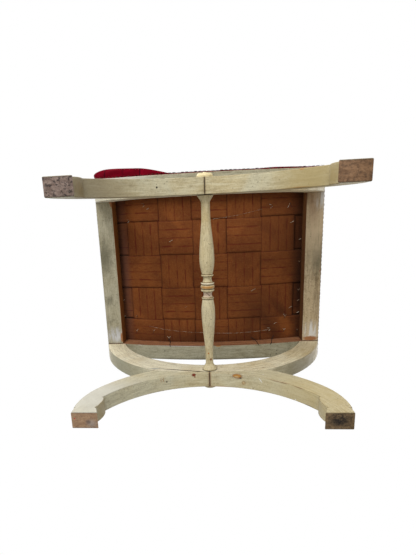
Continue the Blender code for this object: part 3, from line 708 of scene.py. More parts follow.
ARCH_PAINT = AgedPaint(
    "cream_arch_paint", (202, 196, 167), (194, 176, 130), (128, 112, 82), (138, 98, 60),
    warm_side=0.2, plug=(PEG_OFFSET, 0.2035), bow=(-0.0612, 0.268),
    marks=(
        *JOINT_LINES,
        *ANKLE_LINES,
        # Partly the paint's own tone, partly painted shade: darkens the front left leg.
        Mark((-0.205, -0.195, 0.09), 0.075, (142, 128, 102), ROUND, 0.9, 0.7),
        Mark((-0.204, -0.195, 0.04), 0.02, (148, 130, 94), softness=0.6),
        Mark((0.185, -0.195, 0.1), 0.06, (178, 158, 106), ROUND, 0.9, 0.8),
        Mark((0.19, 0.2, 0.09), 0.09, (204, 184, 130), ROUND, 0.9, 0.5),
        Mark((0.204, -0.195, 0.04), 0.02, (170, 150, 100), softness=0.6),
        # Painted shade: a greyer, slightly darker tone on the forward faces of the rear left leg.
        Mark((-0.222, 0.196, 0.06), 0.09, (192, 189, 176), ROUND, 0.8, 0.85,
             facing=(0, -1, 0)),
        Mark((-0.2, 0.213, 0.042), 0.024, (150, 130, 76), ROUND, 0.5, 0.85,
             facing=(1, 0, 0)),
        Mark((0.17, -0.211, 0.1125), 0.0018, AMBER, (2.6, 1.2, 1), 0.5, 0.9, (0, 42, 0)),
        Mark((0.165, -0.1795, 0.1175), 0.0012, (150, 112, 56), (26, 1.5, 2), 0.6, 0.8, (0, 42.5, 0), 0.6),
        Mark((0.1714, 0.2255, 0.1112), 0.0016, CHALK, (1.4, 1, 1), 0.3),
        Mark((0.1936, 0.2276, 0.0871), 0.001, (96, 78, 48), (14, 2, 2), 0.5, 0.8, (0, 52, 0)),
        Mark((0.0922, 0.2247, 0.1638), 0.0014, CHIP_RIM, strength=0.7),
        *dots(DARK_HOLE, (-0.0915, -0.195, 0.164, 0.002), (-0.0928, 0.208, 0.1635, 0.0018)),
        Mark((0.06, 0.2008, 0.1744), 0.005, CHIP_RIM, (2.6, 1.2, 1.2), 0.3, 0.8),
        Mark((0.059, 0.2002, 0.1746), 0.004, AMBER, (2.6, 1, 1), 0.25),
        Mark((0.0572, 0.202, 0.1746), 0.002, (196, 172, 122), (2.8, 1, 1), 0.4, 0.85),
        Mark((0.0665, 0.2045, 0.173), 0.0014, DARK_HOLE, (2.4, 1, 1)),
        Mark((0.0739, 0.2145, 0.1736), 0.0056, (140, 98, 54), ROUND, 0.25, 0.85),
        Mark((0.0739, 0.2145, 0.1736), 0.0042, (206, 184, 138), softness=0.25),
        Mark((-0.0345, 0.1992, 0.1794), 0.004, RUST, (1.2, 0.9, 1)),
        Mark((-0.0325, 0.204, 0.1792), 0.0018, RUST),
        *(Mark((x, 0.2025, z), 0.0006, BARE_WOOD, (1, 9, 9))
          for x, z in ((-0.1045, 0.159), (-0.0995, 0.161))),
        Mark((0.1072, 0.2034, 0.157), 0.0011, CHALK, (1, 6, 4), 0.3, turn=(0, 0, -36)),
        Mark((0.1143, 0.1958, 0.1711), 0.0014, CHALK, (1.4, 1, 1)),
        Mark((0.1427, 0.1965, 0.1352), 0.0006, (122, 80, 48), (40, 4, 1), 0.5, 0.8, (0, 35.4, 0), 0.5),
        Mark((0.176, 0.1965, 0.1065), 0.0005, (128, 86, 52), (24, 4, 1), 0.5, 0.7, (0, 46, 0), 0.6),
        *ARCH_SEAMS,
        Mark((0.03, 0.2278, 0.182), 0.0014, AMBER, (24, 1, 3), 0.4, 0.8),
    ))
CRADLE_PAINT = AgedPaint(
    "cream_cradle_paint", (230, 223, 196), (200, 180, 134), (132, 118, 90), (132, 92, 56),
    warm_side=0.4, bow=(0.453, -0.262),
    marks=(
        *JOINT_LINES,
        # Painted shade on the faces of the arms that look down and outwards, darker on the right.
        Mark((-0.23, 0.212, 0.25), 0.1, (136, 134, 106), ROUND, 0.6, 0.7,
             facing=(-0.7, 0, -0.7)),
        Mark((0.23, 0.212, 0.25), 0.1, (116, 108, 76), ROUND, 0.6, 0.75,
             facing=(0.7, 0, -0.7)),
        Mark((0.1186, 0.196, 0.212), 0.0018, (120, 66, 36)),
        Mark((0.262, 0.196, 0.33), 0.06, (172, 150, 104), (1, 0.3, 1), 0.9, 0.5),
        Mark((-0.1259, 0.196, 0.2107), 0.007, (146, 150, 150), (1.7, 0.5, 0.6), 0.6, 0.6),
        Mark((0, -0.178, 0.19), 0.007, SEAM_SHADOW, (12, 0.4, 1), 0.8, 0.9),
    ))
LEFT_RAIL_PAINT = AgedPaint(
    "grey_rail_paint", (176, 169, 144), (157, 147, 117), (104, 98, 76), (124, 78, 44),
    along=(1, 0.12, 1), dirt=0.5, warm_side=0.0, roughness=0.62,
    marks=(
        rail_mark(-0.27, -0.04, 0.023, OLIVE_SMUDGE, (0.8, 1.8), 0.8, 0.7),
        rail_mark(-0.268, 0.075, 0.01, OLIVE_SMUDGE, softness=0.8, strength=0.5),
        rail_mark(-0.258, 0.172, 0.021, (206, 206, 208), (1, 1), 0.6, 0.9, 0.7),
        rail_mark(-0.242, 0.178, 0.006, BARE_WOOD, (0.6, 2.4)),
        rail_mark(-0.24, -0.18, 0.009, BARE_WOOD, (0.7, 1.9)),
    ))
RIGHT_RAIL_PAINT = AgedPaint(
    "tan_rail_paint", (196, 176, 142), (180, 158, 118), (122, 96, 64), (128, 66, 38),
    along=(1, 0.08, 1), dirt=0.8, warm_side=0.0, roughness=0.62,
    marks=(
        rail_mark(0.266, -0.03, 0.028, OLIVE_SMUDGE, (0.8, 2), 0.8, 0.75, 0.4),
        rail_mark(0.274, -0.03, 0.02, OLIVE_SMUDGE, (0.6, 2), 0.8, 0.7),
        rail_mark(0.274, 0.08, 0.02, (122, 104, 74), (0.5, 2.4), 0.9, 0.6, 0.5),
        rail_mark(0.26, -0.11, 0.05, (218, 194, 158), (0.6, 1.6), 0.9, 0.8, 0.5),
        rail_mark(0.256, -0.15, 0.018, (160, 116, 86), (0.8, 2), 0.8, 0.4),
        rail_mark(0.258, 0.168, 0.023, CHALK, (1, 1.1), 0.5, 0.9, 0.85),
        rail_mark(0.274, -0.165, 0.017, CHALK, (0.8, 1.4), 0.7, 0.9, 0.8),
        rail_mark(0.246, -0.172, 0.013, (132, 98, 66), (0.8, 1.6), 0.7, 0.9, 0.6),
        rail_mark(0.26, 0.189, 0.0075, BARE_WOOD, (2.6, 0.9), 0.3),
        rail_mark(0.27, -0.19, 0.009, (206, 196, 180), (0.9, 1.2), 0.5, 0.8),
        rail_mark(0.278, 0.012, 0.0014, (150, 30, 24)),
    ))
END_RAIL_PAINT = AgedPaint(
    "aged_end_rail_paint", (174, 169, 144), (156, 147, 116), (104, 96, 72), (132, 82, 46),
    dirt=0.5, wear=0.8, roughness=0.6,
    marks=(
        *dots(DARK_HOLE, (-0.1225, 0.2116, 0.378, 0.0016), (0.1735, 0.2165, 0.386, 0.0014),
              (0.172, 0.2259, 0.385, 0.0014), (0.1567, 0.2286, 0.383, 0.0013)),
        Mark((-0.21, -0.228, 0.392), 0.045, (210, 207, 196), (1.6, 0.5, 0.6), 0.8, 0.8),
        Mark((-0.262, -0.232, 0.4), 0.007, (176, 136, 116), (1.6, 1, 1), 0.5),
        Mark((-0.235, -0.222, 0.396), 0.0022, AMBER, (7, 1, 2), 0.5, 0.8),
        Mark((0.02, 0.197, 0.371), 0.0024, AMBER, (3.4, 1, 1)),
        Mark((-0.075, 0.1968, 0.376), 0.0014, (214, 212, 206), (56, 1, 8), 0.5, 0.8),
        Mark((-0.19, 0.1968, 0.392), 0.003, (214, 210, 204), (2.4, 0.7, 1.6), 0.4, 0.8),
        Mark((0, 0.236, 0.374), 0.005, OLIVE_SMUDGE, (40, 1, 4), 0.8, 0.7),
    ))
TURNED_PAINT = AgedPaint(
    "cream_turned_paint", (206, 194, 158), (194, 172, 120), (120, 102, 70), (166, 116, 62),
    along=(1, 0.12, 1), wear=0.6, warm_side=0.1, roughness=0.42,
    marks=(
        stretcher_mark(0, 0.0034, (184, 128, 56), (5, 1, 5), 0.35, 0.9),
        stretcher_mark(-0.0077, 0.002, (232, 222, 194), (9, 1, 9), 0.4, 0.8),
        stretcher_mark(0.0162, 0.0052, (200, 172, 154), (4, 1, 4), 0.4, 0.75),
        Mark((0.001, 0.0243, 0.1985), 0.0006, DARK_HOLE, (11, 1.2, 8), 0.3, 0.9, (0, 0, 45)),
        # Painted shade in the grooves beside the rings.
        *(stretcher_mark(way * groove, 0.0008, (100, 72, 42), (40, 1, 40), 0.6, 0.9, 0.207)
          for groove in (0.0266, 0.0225, 0.0099, 0.0046) for way in (-1, 1)),
        Mark((-0.0016, 0.1564, 0.198), 0.002, (176, 112, 50)),
        Mark((0.0035, 0.1707, 0.199), 0.003, (132, 86, 54), softness=0.4),
        *dots(DARK_HOLE, (-0.0013, 0.0629, 0.1915, 0.0012), (0.0007, 0.0706, 0.1914, 0.0012),
              (0.0042, 0.056, 0.1925, 0.0008), (-0.004, 0.054, 0.1925, 0.0008)),
        stretcher_mark(-0.2275, 0.024, (238, 222, 174), (1, 0.5, 1), 0.2, 0.85, 0.207),
    ))
RAIL_INNER_WOOD = BareWood(
    "stained_rail_wood", (128, 80, 30), (96, 56, 18), (48, 26, 8), 0.3, (1, 0.08, 1),
    marks=(Mark((-0.239, 0, 0.418), 0.03, (142, 84, 20), (0.2, 12, 4), 0.5, 0.8),))
REAR_INNER_WOOD = BareWood(
    "pink_rail_wood", (176, 122, 82), (142, 92, 58), (84, 48, 28), 0.3, (0.08, 1, 1))
DOWEL_WOOD = BareWood("beech_dowel_wood", (196, 170, 120), (170, 138, 88), (110, 80, 50))
FOOT_ENDS = {
    corner: BareWood(f"{corner}_foot_end", light, dark, soot, stain, (0.6, 1, 1), 0.0, specks, marks)
    for corner, light, dark, soot, stain, specks, marks in (
        ("front_left", (156, 136, 124), (110, 90, 80), (38, 30, 30), 0.6, 0.75, ()),
        ("front_right", (152, 116, 82), (112, 82, 56), (52, 36, 26), 0.5, 0.35, ()),
        ("rear_left", (180, 148, 116), (150, 118, 90), (92, 68, 48), 0.3, 0.25,
         (Mark((-0.2441, 0.2081, 0), 0.0014, (186, 28, 34)),
          Mark((-0.213, 0.218, 0), 0.0075, (168, 158, 150), (1.2, 1, 1), 0.7, 0.6),
          Mark((-0.219, 0.215, 0), 0.004, (92, 76, 66), (1.2, 1, 1), 0.5, 0.6))),
        ("rear_right", (136, 112, 78), (106, 84, 56), (42, 36, 30), 0.6, 0.4,
         (Mark((0.224, 0.208, 0), 0.015, (30, 26, 22), (1.2, 0.8, 1), 0.8, 0.9, broken=0.8),
          Mark((0.224, 0.213, 0), 0.008, (30, 26, 22), (1.6, 0.8, 1), 0.8, 0.7))))}


def new_mesh(name: str, bm: Shape) -> bpy.types.Mesh:
    """Turns a shape into a mesh.

    Args:
        name: The mesh's name.
        bm: The shape, which is freed.

    Returns:
        The mesh.
    """
    mesh = bpy.data.meshes.new(name)
    bm.to_mesh(mesh)
    bm.free()
    return mesh


def put(name: str, data: bpy.types.ID, place: Place = (0, 0, 0),
        turn: Place | Euler = (0, 0, 0)) -> Piece:
    """Puts a mesh, a lamp or a camera in the scene.

    Args:
        name: The object's name.
        data: The mesh, lamp or camera.
        place: Where it is; a piece of the stool stays at the origin.
        turn: How it is turned.

    Returns:
        The object.
    """
    made = bpy.data.objects.new(name, data)
    made.location = place
    made.rotation_euler = turn
    bpy.context.scene.collection.objects.link(made)
    return made


def make_piece(name: str, bm: Shape, sharp: Sharp, materials: list[Material], slot: str,
               *nodes: str) -> Piece:
    """Makes a piece that rides on the stool, smooth but for its sharp edges.

    Args:
        name: The piece's name.
        bm: Its shape, in its place, which is freed.
        sharp: Which of its edges stay sharp.
        materials: Its finishes.
        slot: The record's material slot; not used.
        nodes: The CAD nodes that it replaces.

    Returns:
        The piece.
    """
    mesh = new_mesh(name, bm)
    mesh.shade_smooth()
    mesh.set_sharp_from_angle(angle=math.radians(sharp.value))
    for material in materials:
        mesh.materials.append(material)
    piece = put(name, mesh)
    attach(piece, "root")
    if nodes:
        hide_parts(*nodes)
    log.info("made %s", name)
    return piece


def thicken(piece: Piece, thickness: float, offset: float = 0.0) -> None:
    """Gives a sheet its thickness.

    Args:
        piece: The sheet.
        thickness: How thick it becomes.
        offset: 0 to thicken it on both sides, or 1 outside it alone.
    """
    wall = piece.modifiers.new("thickness", "SOLIDIFY")
    wall.thickness = thickness
    wall.offset = offset


def upright(way: Vector) -> Matrix:
    """The turn that points +Z this way."""
    return way.to_track_quat("Z", "Y").to_matrix().to_4x4()


def add_rod(bm: Shape, start: Vector, end: Vector, radius: float, tip: float, segments: int,
            past: float = 0.0) -> list[bmesh.types.BMVert]:
    """Adds a round rod between two points.

    Args:
        bm: The shape to add it to.
        start: Where it starts.
        end: Where it ends.
        radius: Its radius at its start.
        tip: Its radius at its end.
        segments: How many sides it has.
        past: How much longer it is than the way between the points.

    Returns:
        Its points.
    """
    way = end - start
    matrix = Matrix.Translation((start + end) / 2) @ upright(way)
    return bmesh.ops.create_cone(bm, cap_ends=True, segments=segments, radius1=radius, radius2=tip,
                                 depth=way.length + past, matrix=matrix)["verts"]


@dataclass
class Woodwork:
    """The boards of the frame: legs, arms and rails, and the joinery inside them."""

    nodes: dict[str, Piece]
    foot_height: float = 0.0005
    whole_face: float = 0.4
    arch_radius: float = 0.2432
    peg_radius: float = 0.00515
    peg_flush: float = 0.00055
    peg_sides: int = 32
    flat_weight: int = 60
    inner_facing: float = 0.5

    def board(self, name: str, materials: list[Material], slot: str,
              is_bare: Callable[[bmesh.types.BMFace], bool]) -> None:
        """Dresses one board, with its loose triangles merged into whole faces.

        Args:
            name: The CAD node's name.
            materials: The board's finishes, the second one bare.
            slot: The record's material slot.
            is_bare: A function of a face, true where the board is bare.
        """
        bm = bmesh.new()
        bm.from_mesh(self.nodes[name].data)
        bmesh.ops.remove_doubles(bm, verts=bm.verts, dist=WELD)
        bmesh.ops.dissolve_limit(bm, angle_limit=math.radians(self.whole_face), verts=bm.verts,
                                 edges=bm.edges)
        for face in bm.faces:
            face.material_index = int(is_bare(face))
        piece = make_piece(f"{name}_painted", bm, Sharp.BOARD, materials, slot, name)
        weigh = piece.modifiers.new("flat_faces", "WEIGHTED_NORMAL")
        weigh.keep_sharp = True
        weigh.weight = self.flat_weight

    def peg(self, name: str, paint: Material) -> None:
        """Makes a peg that fills its hole, its lower end just under the arch's paint.

        Args:
            name: The CAD node's name.
            paint: The arch's paint.
        """
        corners = [vert.co for vert in self.nodes[name].data.vertices]
        middle = sum(corners, Vector()) / len(corners)
        lean = math.asin(PEG_OFFSET / self.arch_radius)
        axis = Vector((math.copysign(math.sin(lean), middle.x), 0.0, math.cos(lean)))
        reach = (middle - min(corners, key=lambda corner: corner.z)).dot(axis)
        bm = bmesh.new()
        add_rod(bm, middle - axis * (reach + self.peg_flush), middle + axis * reach,
                self.peg_radius, self.peg_radius, self.peg_sides)
        make_piece(f"{name}_painted", bm, Sharp.PEG, [paint], "bare_beech", name)

    def build(self) -> None:
        """Dresses the legs with their bare foot ends, the arms, the rails and the joinery."""
        arch, cradle, dowel_wood = (each.build() for each in (ARCH_PAINT, CRADLE_PAINT, DOWEL_WOOD))
        for corner, foot_end in FOOT_ENDS.items():
            self.board(f"{corner}_leg", [arch, foot_end.build()], "cream_paint",
                       lambda face: face.calc_center_median().z < self.foot_height)
        for corner in FOOT_ENDS:
            self.board(f"{corner}_arm", [cradle], "cream_paint", lambda face: False)
        end_paint, end_wood, side_wood = (
            each.build() for each in (END_RAIL_PAINT, REAR_INNER_WOOD, RAIL_INNER_WOOD))
        for name, paint, wood, inwards in (
                ("left_rail", LEFT_RAIL_PAINT.build(), side_wood, (1, 0, 0)),
                ("right_rail", RIGHT_RAIL_PAINT.build(), side_wood, (-1, 0, 0)),
                ("front_rail", end_paint, end_wood, (0, 1, 0)),
                ("rear_rail", end_paint, end_wood, (0, -1, 0))):
            self.board(name, [paint, wood], "rail_paint",
                       lambda face, way=Vector(inwards): face.normal.dot(way) > self.inner_facing)
        for name, node in self.nodes.items():
            if "dowel" in name:
                node.data.materials.clear()
                node.data.materials.append(dowel_wood)
            elif "peg" in name:
                self.peg(name, arch)


def curve(start: tuple[float, float], end: tuple[float, float], rise: float,
          steps: int) -> Profile:
    """Points of a rounded bead, or of a hollow where the rise is negative.

    Args:
        start: Radius and length where it starts.
        end: Radius and length where it ends.
        rise: How far its middle stands out.
        steps: How many pieces it is drawn in.

    Returns:
        The points, without the first.
    """
    points = []
    for share in shares(steps)[1:]:
        out = rise * math.sqrt(max(0.0, 1 - (2 * share - 1) ** 2))
        radius = start[0] + (end[0] - start[0]) * share + out
        points.append((radius, start[1] + (end[1] - start[1]) * share))
    return points


def drawn(rows: tuple[tuple, ...]) -> Profile:
    """Points of a profile's rows: a point, or a curve's start, end, rise and steps."""
    return [point for row in rows for point in ([row] if len(row) == 2 else curve(*row))]


@dataclass
class Turnings:
    """The turned stretcher and the two rosettes, spun finely from their profiles.

    A profile has pairs of a radius and a length. The stretcher's lengths run from its middle
    to the tip of its tenon, a rosette's from the frame outwards. Of the belly's and the waist's
    two radii, the first is for the front half.
    """

    height: float = 0.207
    outer_face: float = 0.22005
    turns: int = 64
    bead_radius: float = 0.0148
    bead_half: float = 0.0042
    neck_radius: float = 0.0126
    rings: tuple[tuple, ...] = (
        (0.0120, 0.0047), (0.0120, 0.0053), ((0.0126, 0.0056), (0.0126, 0.0096), 0.0016, 10),
        (0.0114, 0.0100), ((0.0114, 0.0100), (0.0108, 0.0218), -0.0021, 14),
        ((0.0108, 0.0222), (0.0108, 0.0262), 0.0023, 10), (0.0100, 0.0265))
    vase_start: tuple[float, float] = (0.0114, 0.0266)
    belly_at: float = 0.056
    belly_radii: tuple[float, float] = (0.0157, 0.0146)
    waist_at: float = 0.156
    waist_radii: tuple[float, float] = (0.0090, 0.0084)
    flare_start: float = 0.172
    flare_end: tuple[float, float] = (0.0147, 0.18255)
    flange: tuple[tuple, ...] = (
        (0.0149, 0.18315), ((0.0155, 0.18375), (0.0155, 0.18665), 0.0008, 8), (0.007, 0.18695),
        (0.007, 0.20695), (0.0, 0.20695))
    boss: tuple[float, float] = (0.0052, 0.0104)
    boss_foot: float = 0.0066
    rosette_rim: tuple[tuple, ...] = (
        (0.0058, 0.0062), (0.0110, 0.0066), ((0.0110, 0.0066), (0.0134, 0.0078), 0.0004, 6),
        ((0.0134, 0.0078), (0.0163, 0.0024), 0.0006, 8), (0.0163, 0.0), (0.004, 0.0),
        (0.004, -0.010), (0.0, -0.010))

    def vase(self, at: float, belly: float, waist: float) -> float:
        """Works out the radius of a vase.

        Args:
            at: The length from the middle of the stretcher.
            belly: The radius of the vase's belly.
            waist: The radius of its waist.

        Returns:
            The radius at that length.
        """
        radius, start = self.vase_start
        if at < self.belly_at:
            rise = math.sin(math.pi / 2 * (at - start) / (self.belly_at - start))
            return radius + (belly - radius) * rise
        return belly + (waist - belly) * soft_step(at, self.belly_at, self.waist_at)

    def stretcher_half(self, end: End) -> Profile:
        """The profile of half the stretcher, from its middle out to its tenon.

        Args:
            end: The end of the stool that the half runs to.

        Returns:
            The profile.
        """
        place = list(End).index(end)
        belly, waist = self.belly_radii[place], self.waist_radii[place]
        bead = [(self.bead_radius - (self.bead_radius - self.neck_radius) * (
            1 - math.sqrt(1 - share * share)), self.bead_half * share) for share in shares(8)]
        start = self.vase_start[1]
        lengths = [start + (self.flare_start - start) * share for share in shares(36)]
        vase = [(self.vase(at, belly, waist), at) for at in lengths]
        radius, stop = self.flare_end
        flare = [(waist + (radius - waist) * (1 - math.cos(share * math.pi / 2)) ** 0.8,
                  self.flare_start + (stop - self.flare_start) * share) for share in shares(12)[1:]]
        return [*bead, *drawn(self.rings), *vase, *flare, *drawn(self.flange)]

    def rosette(self) -> Profile:
        """Draws a rosette.

        Returns:
            Its profile, from the top of its boss to the tip of its pin.
        """
        radius, top = self.boss
        boss = [(radius * math.sin(turn), self.boss_foot + (top - self.boss_foot) * math.cos(turn))
                for turn in (share * math.pi / 2 for share in shares(8))]
        return [*boss, *drawn(self.rosette_rim)]

    def spin(self, node: str, profile: Profile, start: float, way: int, paint: Material) -> None:
        """Spins a profile about the line of the stretcher.

        Args:
            node: The CAD node that the piece replaces.
            profile: Radius and length pairs from one tip on the axis to the other.
            start: The place along Y where lengths start.
            way: 1 where lengths run to the rear, -1 where they run to the front.
            paint: The piece's finish.
        """
        bm = bmesh.new()
        verts = [bm.verts.new((radius, 0.0, length)) for radius, length in profile]
        edges = [bm.edges.new(pair) for pair in zip(verts, verts[1:])]
        bmesh.ops.spin(bm, geom=verts + edges, cent=(0, 0, 0), axis=(0, 0, 1), dvec=(0, 0, 0),
                       angle=math.tau, steps=self.turns, use_merge=True)
        bmesh.ops.remove_doubles(bm, verts=bm.verts, dist=WELD)
        turn = Matrix.Rotation(-way * math.pi / 2, 4, "X")
        bmesh.ops.transform(bm, matrix=Matrix.Translation((0, start, self.height)) @ turn,
                            verts=bm.verts)
        bmesh.ops.recalc_face_normals(bm, faces=bm.faces)
        make_piece(f"turned_{node}", bm, Sharp.TURNING, [paint], "cream_paint", node)

    def build(self) -> None:
        """Makes the stretcher and the rosettes."""
        paint = TURNED_PAINT.build()
        rear = self.stretcher_half(End.REAR)[::-1]
        front = [(radius, -length) for radius, length in self.stretcher_half(End.FRONT)[1:]]
        self.spin("stretcher", rear + front, CROSSING_Y, 1, paint)
        for end in End:
            start = CROSSING_Y + end.value * self.outer_face
            self.spin(f"{end.name}_rosette".lower(), self.rosette(), start, end.value, paint)


@dataclass
class SeatShape:
    """The sizes of the dished seat that its soft layers follow."""

    width: float = 0.562
    depth: float = 0.471
    rail_height: float = 0.041
    side_rail: float = 0.042
    underside_sag: float = 0.028
    seat_sag: float = 0.036
    arm_width: float = 0.0484
    fit_gap: float = 0.0003

    def dish(self, x: float, level: float, sag: float, half_span: float) -> float:
        """Height of a line that is level at its ends and sags in an arc between them.

        Args:
            x: The place along the line.
            level: Its height at the ends.
            sag: How far it sags in the middle.
            half_span: Half the length of the part that sags.

        Returns:
            The height.
        """
        if abs(x) >= half_span:
            return level
        radius = (half_span * half_span + sag * sag) / (2 * sag)
        return level - math.sqrt(radius * radius - x * x) + radius - sag

    def top(self, x: float) -> float:
        """Height of the rails' dished top at x."""
        half_span = self.width / 2 - self.side_rail
        return self.dish(x, SEAT_UNDERSIDE + self.rail_height, self.seat_sag, half_span)

    def bottom(self, x: float) -> float:
        """Height of the end rails' dished underside at x."""
        half_span = self.width / 2 - self.arm_width - self.fit_gap
        return self.dish(x, SEAT_UNDERSIDE, self.underside_sag, half_span)


WEB_SHADOW = (50, 26, 13)
WEB_MARKS = (
    Mark((0.12, 0.12, 0.42), 0.06, (70, 37, 18), ROUND, 0.9, 0.5),
    Mark((0.158, 0.16, 0.42), 0.015, WEB_SHADOW, (1, 2.4, 3), 0.9, 0.5, (0, 0, -30)),
    Mark((0.19, 0.118, 0.42), 0.01, WEB_SHADOW, (1, 3, 3), 0.9, 0.45, (0, 0, -42)),
    Mark((0.203, 0.16, 0.43), 0.017, (150, 88, 40), (1, 1.8, 3), 0.35, 0.5, (0, 0, -32)),
    # Painted shadow of the front arch and rail across the front of the webbing.
    Mark((0, -0.205, 0.41), 0.026, (56, 27, 12), (10, 1, 3), 1, 0.8),
    Mark((-0.226, 0.02, 0.43), 0.012, (104, 74, 64), (1, 18, 4), 0.9, 0.55),
    # These three marks are painted shade along the webbing by the side rails.
    Mark((0.226, -0.02, 0.43), 0.013, (52, 28, 16), (1, 16, 4), 0.9, 0.75),
    Mark((0.237, -0.02, 0.43), 0.008, (28, 16, 12), (1, 26, 4), 0.9, 0.8),
    Mark((-0.237, -0.02, 0.43), 0.007, (34, 20, 14), (1, 28, 4), 0.9, 0.6),
    Mark((-0.03, 0.19, 0.41), 0.05, (74, 40, 20), (3.6, 0.5, 1), 0.9, 0.6),
    Mark((0.205, -0.1, 0.42), 0.09, (84, 44, 20), (1, 1.2, 1), 0.9, 0.5),
)


class Run(Enum):
    """How a strip of webbing runs: a row from side to side, a column from front to rear."""

    ROW = "row"
    COLUMN = "column"

    def across(self) -> Run:
        """The run that crosses this one."""
        return Run.ROW if self is Run.COLUMN else Run.COLUMN


@dataclass
class Webbing:
    """Five strips each way, woven over and under, with the hessian above them.

    The ruck and the slack are the waves in a metre and the height of a strip's waver and of its
    unevenness.
    """

    seat: SeatShape
    strips: int = 5
    gap: float = 0.0007
    thickness: float = 0.0012
    row_margin: float = 0.01925
    column_margin: float = 0.064
    row_shift: float = 0.0035
    column_shift: float = 0.004
    level: float = 0.001
    ramp: float = 0.07
    end_margin: float = 0.012
    hessian_margin: float = 0.024
    hessian_cuts: tuple[int, int] = (60, 40)
    hessian_thickness: float = 0.0008
    step: float = 0.006
    across_cuts: int = 14
    ruck: tuple[float, float] = (9.0, 0.0004)
    slack: tuple[float, float] = (22.0, 0.00015)
    tacks_an_end: int = 4
    tack_inset: float = 0.008
    tack_radius: float = 0.0034
    tack_height: float = 0.0010
    tack_sides: int = 10

    def lie(self, run: Run) -> tuple[float, float, float]:
        """Works out how the strips of one run lie.

        Args:
            run: The run.

        Returns:
            Their pitch, how far they are shifted, and their length.
        """
        seat = self.seat
        if run is Run.COLUMN:
            pitch = (seat.width - 2 * self.column_margin) / self.strips
            return pitch, self.column_shift, seat.depth - 2 * self.end_margin
        pitch = (seat.depth - 2 * self.row_margin) / self.strips
        return pitch, self.row_shift, seat.width - 2 * self.end_margin

    def middles(self, run: Run) -> list[float]:
        """Places of the strips' middles across them."""
        pitch, shift, _ = self.lie(run)
        return [shift + (place - (self.strips - 1) / 2) * pitch for place in range(self.strips)]

    def height(self, x: float, y: float, run: Run, index: int) -> float:
        """Height of a strip as it passes over and under the others.

        Args:
            x: The place across the stool.
            y: The place from front to rear.
            run: How the strip runs.
            index: Which strip it is.

        Returns:
            The height of the strip's middle layer.
        """
        is_column = run is Run.COLUMN
        pitch, shift, _ = self.lie(run.across())
        at = ((y if is_column else x) - shift) / pitch + (self.strips - 1) / 2
        crossing = min(self.strips - 1, max(0, round(at)))
        off = abs(at - crossing)
        near = 1.0 if off > 0.5 else soft_step(0.5 - off, 0.0, self.ramp)
        over = 1 if ((index + crossing) % 2 == 0) == is_column else -1
        base = self.seat.fit_gap + self.level + self.thickness / 2
        return self.seat.top(x) + (base + over * self.level * near)

    def strip(self, run: Run, index: int, middle: float, jute: Material) -> None:
        """Makes one strip of webbing.

        Args:
            run: How it runs.
            index: Which strip it is.
            middle: The place of its middle across it.
            jute: Its finish.
        """
        is_column = run is Run.COLUMN
        pitch, _, length = self.lie(run)
        width = pitch - self.gap
        bm = bmesh.new()
        cloth = bm.loops.layers.uv.new("strip")
        bmesh.ops.create_grid(bm, x_segments=self.across_cuts, y_segments=round(length / self.step),
                              size=0.5)
        flat = {vert: (vert.co.x * width, vert.co.y * length) for vert in bm.verts}
        for face in bm.faces:
            for loop in face.loops:
                loop[cloth].uv = flat[loop.vert]
        (ruck_waves, ruck), (slack_waves, slack) = self.ruck, self.slack
        for vert, (across, along) in flat.items():
            seed = Vector((along * ruck_waves, index * 7.3, 3.1 * is_column))
            side = middle + across + noise.noise(seed) * ruck
            x, y = (side, along) if is_column else (along, side)
            seed = Vector((x * slack_waves, y * slack_waves, index + 9 * is_column))
            uneven = noise.noise(seed) * slack
            vert.co = (x, y, self.height(x, y, run, index) + uneven)
        bmesh.ops.recalc_face_normals(bm, faces=bm.faces)
        piece = make_piece(f"jute_{run.value}_{index + 1}", bm, Sharp.CLOTH, [jute],
                           "jute_webbing", f"webbing_{run.value}_{index + 1}")
        thicken(piece, self.thickness)

    def build(self) -> None:
        """Makes the ten strips, their tacks and the hessian."""
        row_width = self.lie(Run.ROW)[0] - self.gap
        jute = StripedJute("striped_jute", (138, 79, 36), (112, 61, 27), (92, 24, 12), row_width,
                           WEB_MARKS).build()
        for run in Run:
            for index, middle in enumerate(self.middles(run)):
                self.strip(run, index, middle, jute)
        self.build_tacks()
        self.build_hessian()

    def build_tacks(self) -> None:
        """Makes the tacks that hold the strips' ends down on the rails."""
        bm = bmesh.new()
        lift = (self.thickness + self.tack_height) / 2
        for run in Run:
            pitch, _, length = self.lie(run)
            reach = length / 2 - self.tack_inset
            for index, middle in enumerate(self.middles(run)):
                for place in range(self.tacks_an_end):
                    across = middle + pitch * ((place + 0.5) / self.tacks_an_end - 0.5)
                    for end in (-reach, reach):
                        x, y = (across, end) if run is Run.COLUMN else (end, across)
                        z = self.height(x, y, run, index) + lift
                        bmesh.ops.create_cone(
                            bm, cap_ends=True, segments=self.tack_sides,
                            radius1=self.tack_radius, radius2=self.tack_radius / 2,
                            depth=self.tack_height, matrix=Matrix.Translation((x, y, z)))
        steel = PaintedMetal("blued_tacks", (58, 56, 60), (120, 74, 46), 0.4).build()
        make_piece("webbing_tacks", bm, Sharp.TACK, [steel], "jute_webbing")

    def build_hessian(self) -> None:
        """Makes the hessian that lies over the webbing, just under the top of its CAD sheet."""
        width = self.seat.width - 2 * self.hessian_margin
        length = self.seat.depth - 2 * self.hessian_margin
        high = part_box("hessian")[1]
        lift = high.z - self.seat.top(self.seat.width / 2) - self.hessian_thickness / 2
        bm = bmesh.new()
        cuts_x, cuts_y = self.hessian_cuts
        bmesh.ops.create_grid(bm, x_segments=cuts_x, y_segments=cuts_y, size=0.5)
        for vert in bm.verts:
            x, y = vert.co.x * width, vert.co.y * length
            vert.co = (x, y, self.seat.top(x) + lift)
        weave = PlainWeave("hessian_weave", (150, 112, 70), (84, 58, 34)).build()
        piece = make_piece("hessian_cloth", bm, Sharp.CLOTH, [weave], "hessian", "hessian")
        thicken(piece, self.hessian_thickness)


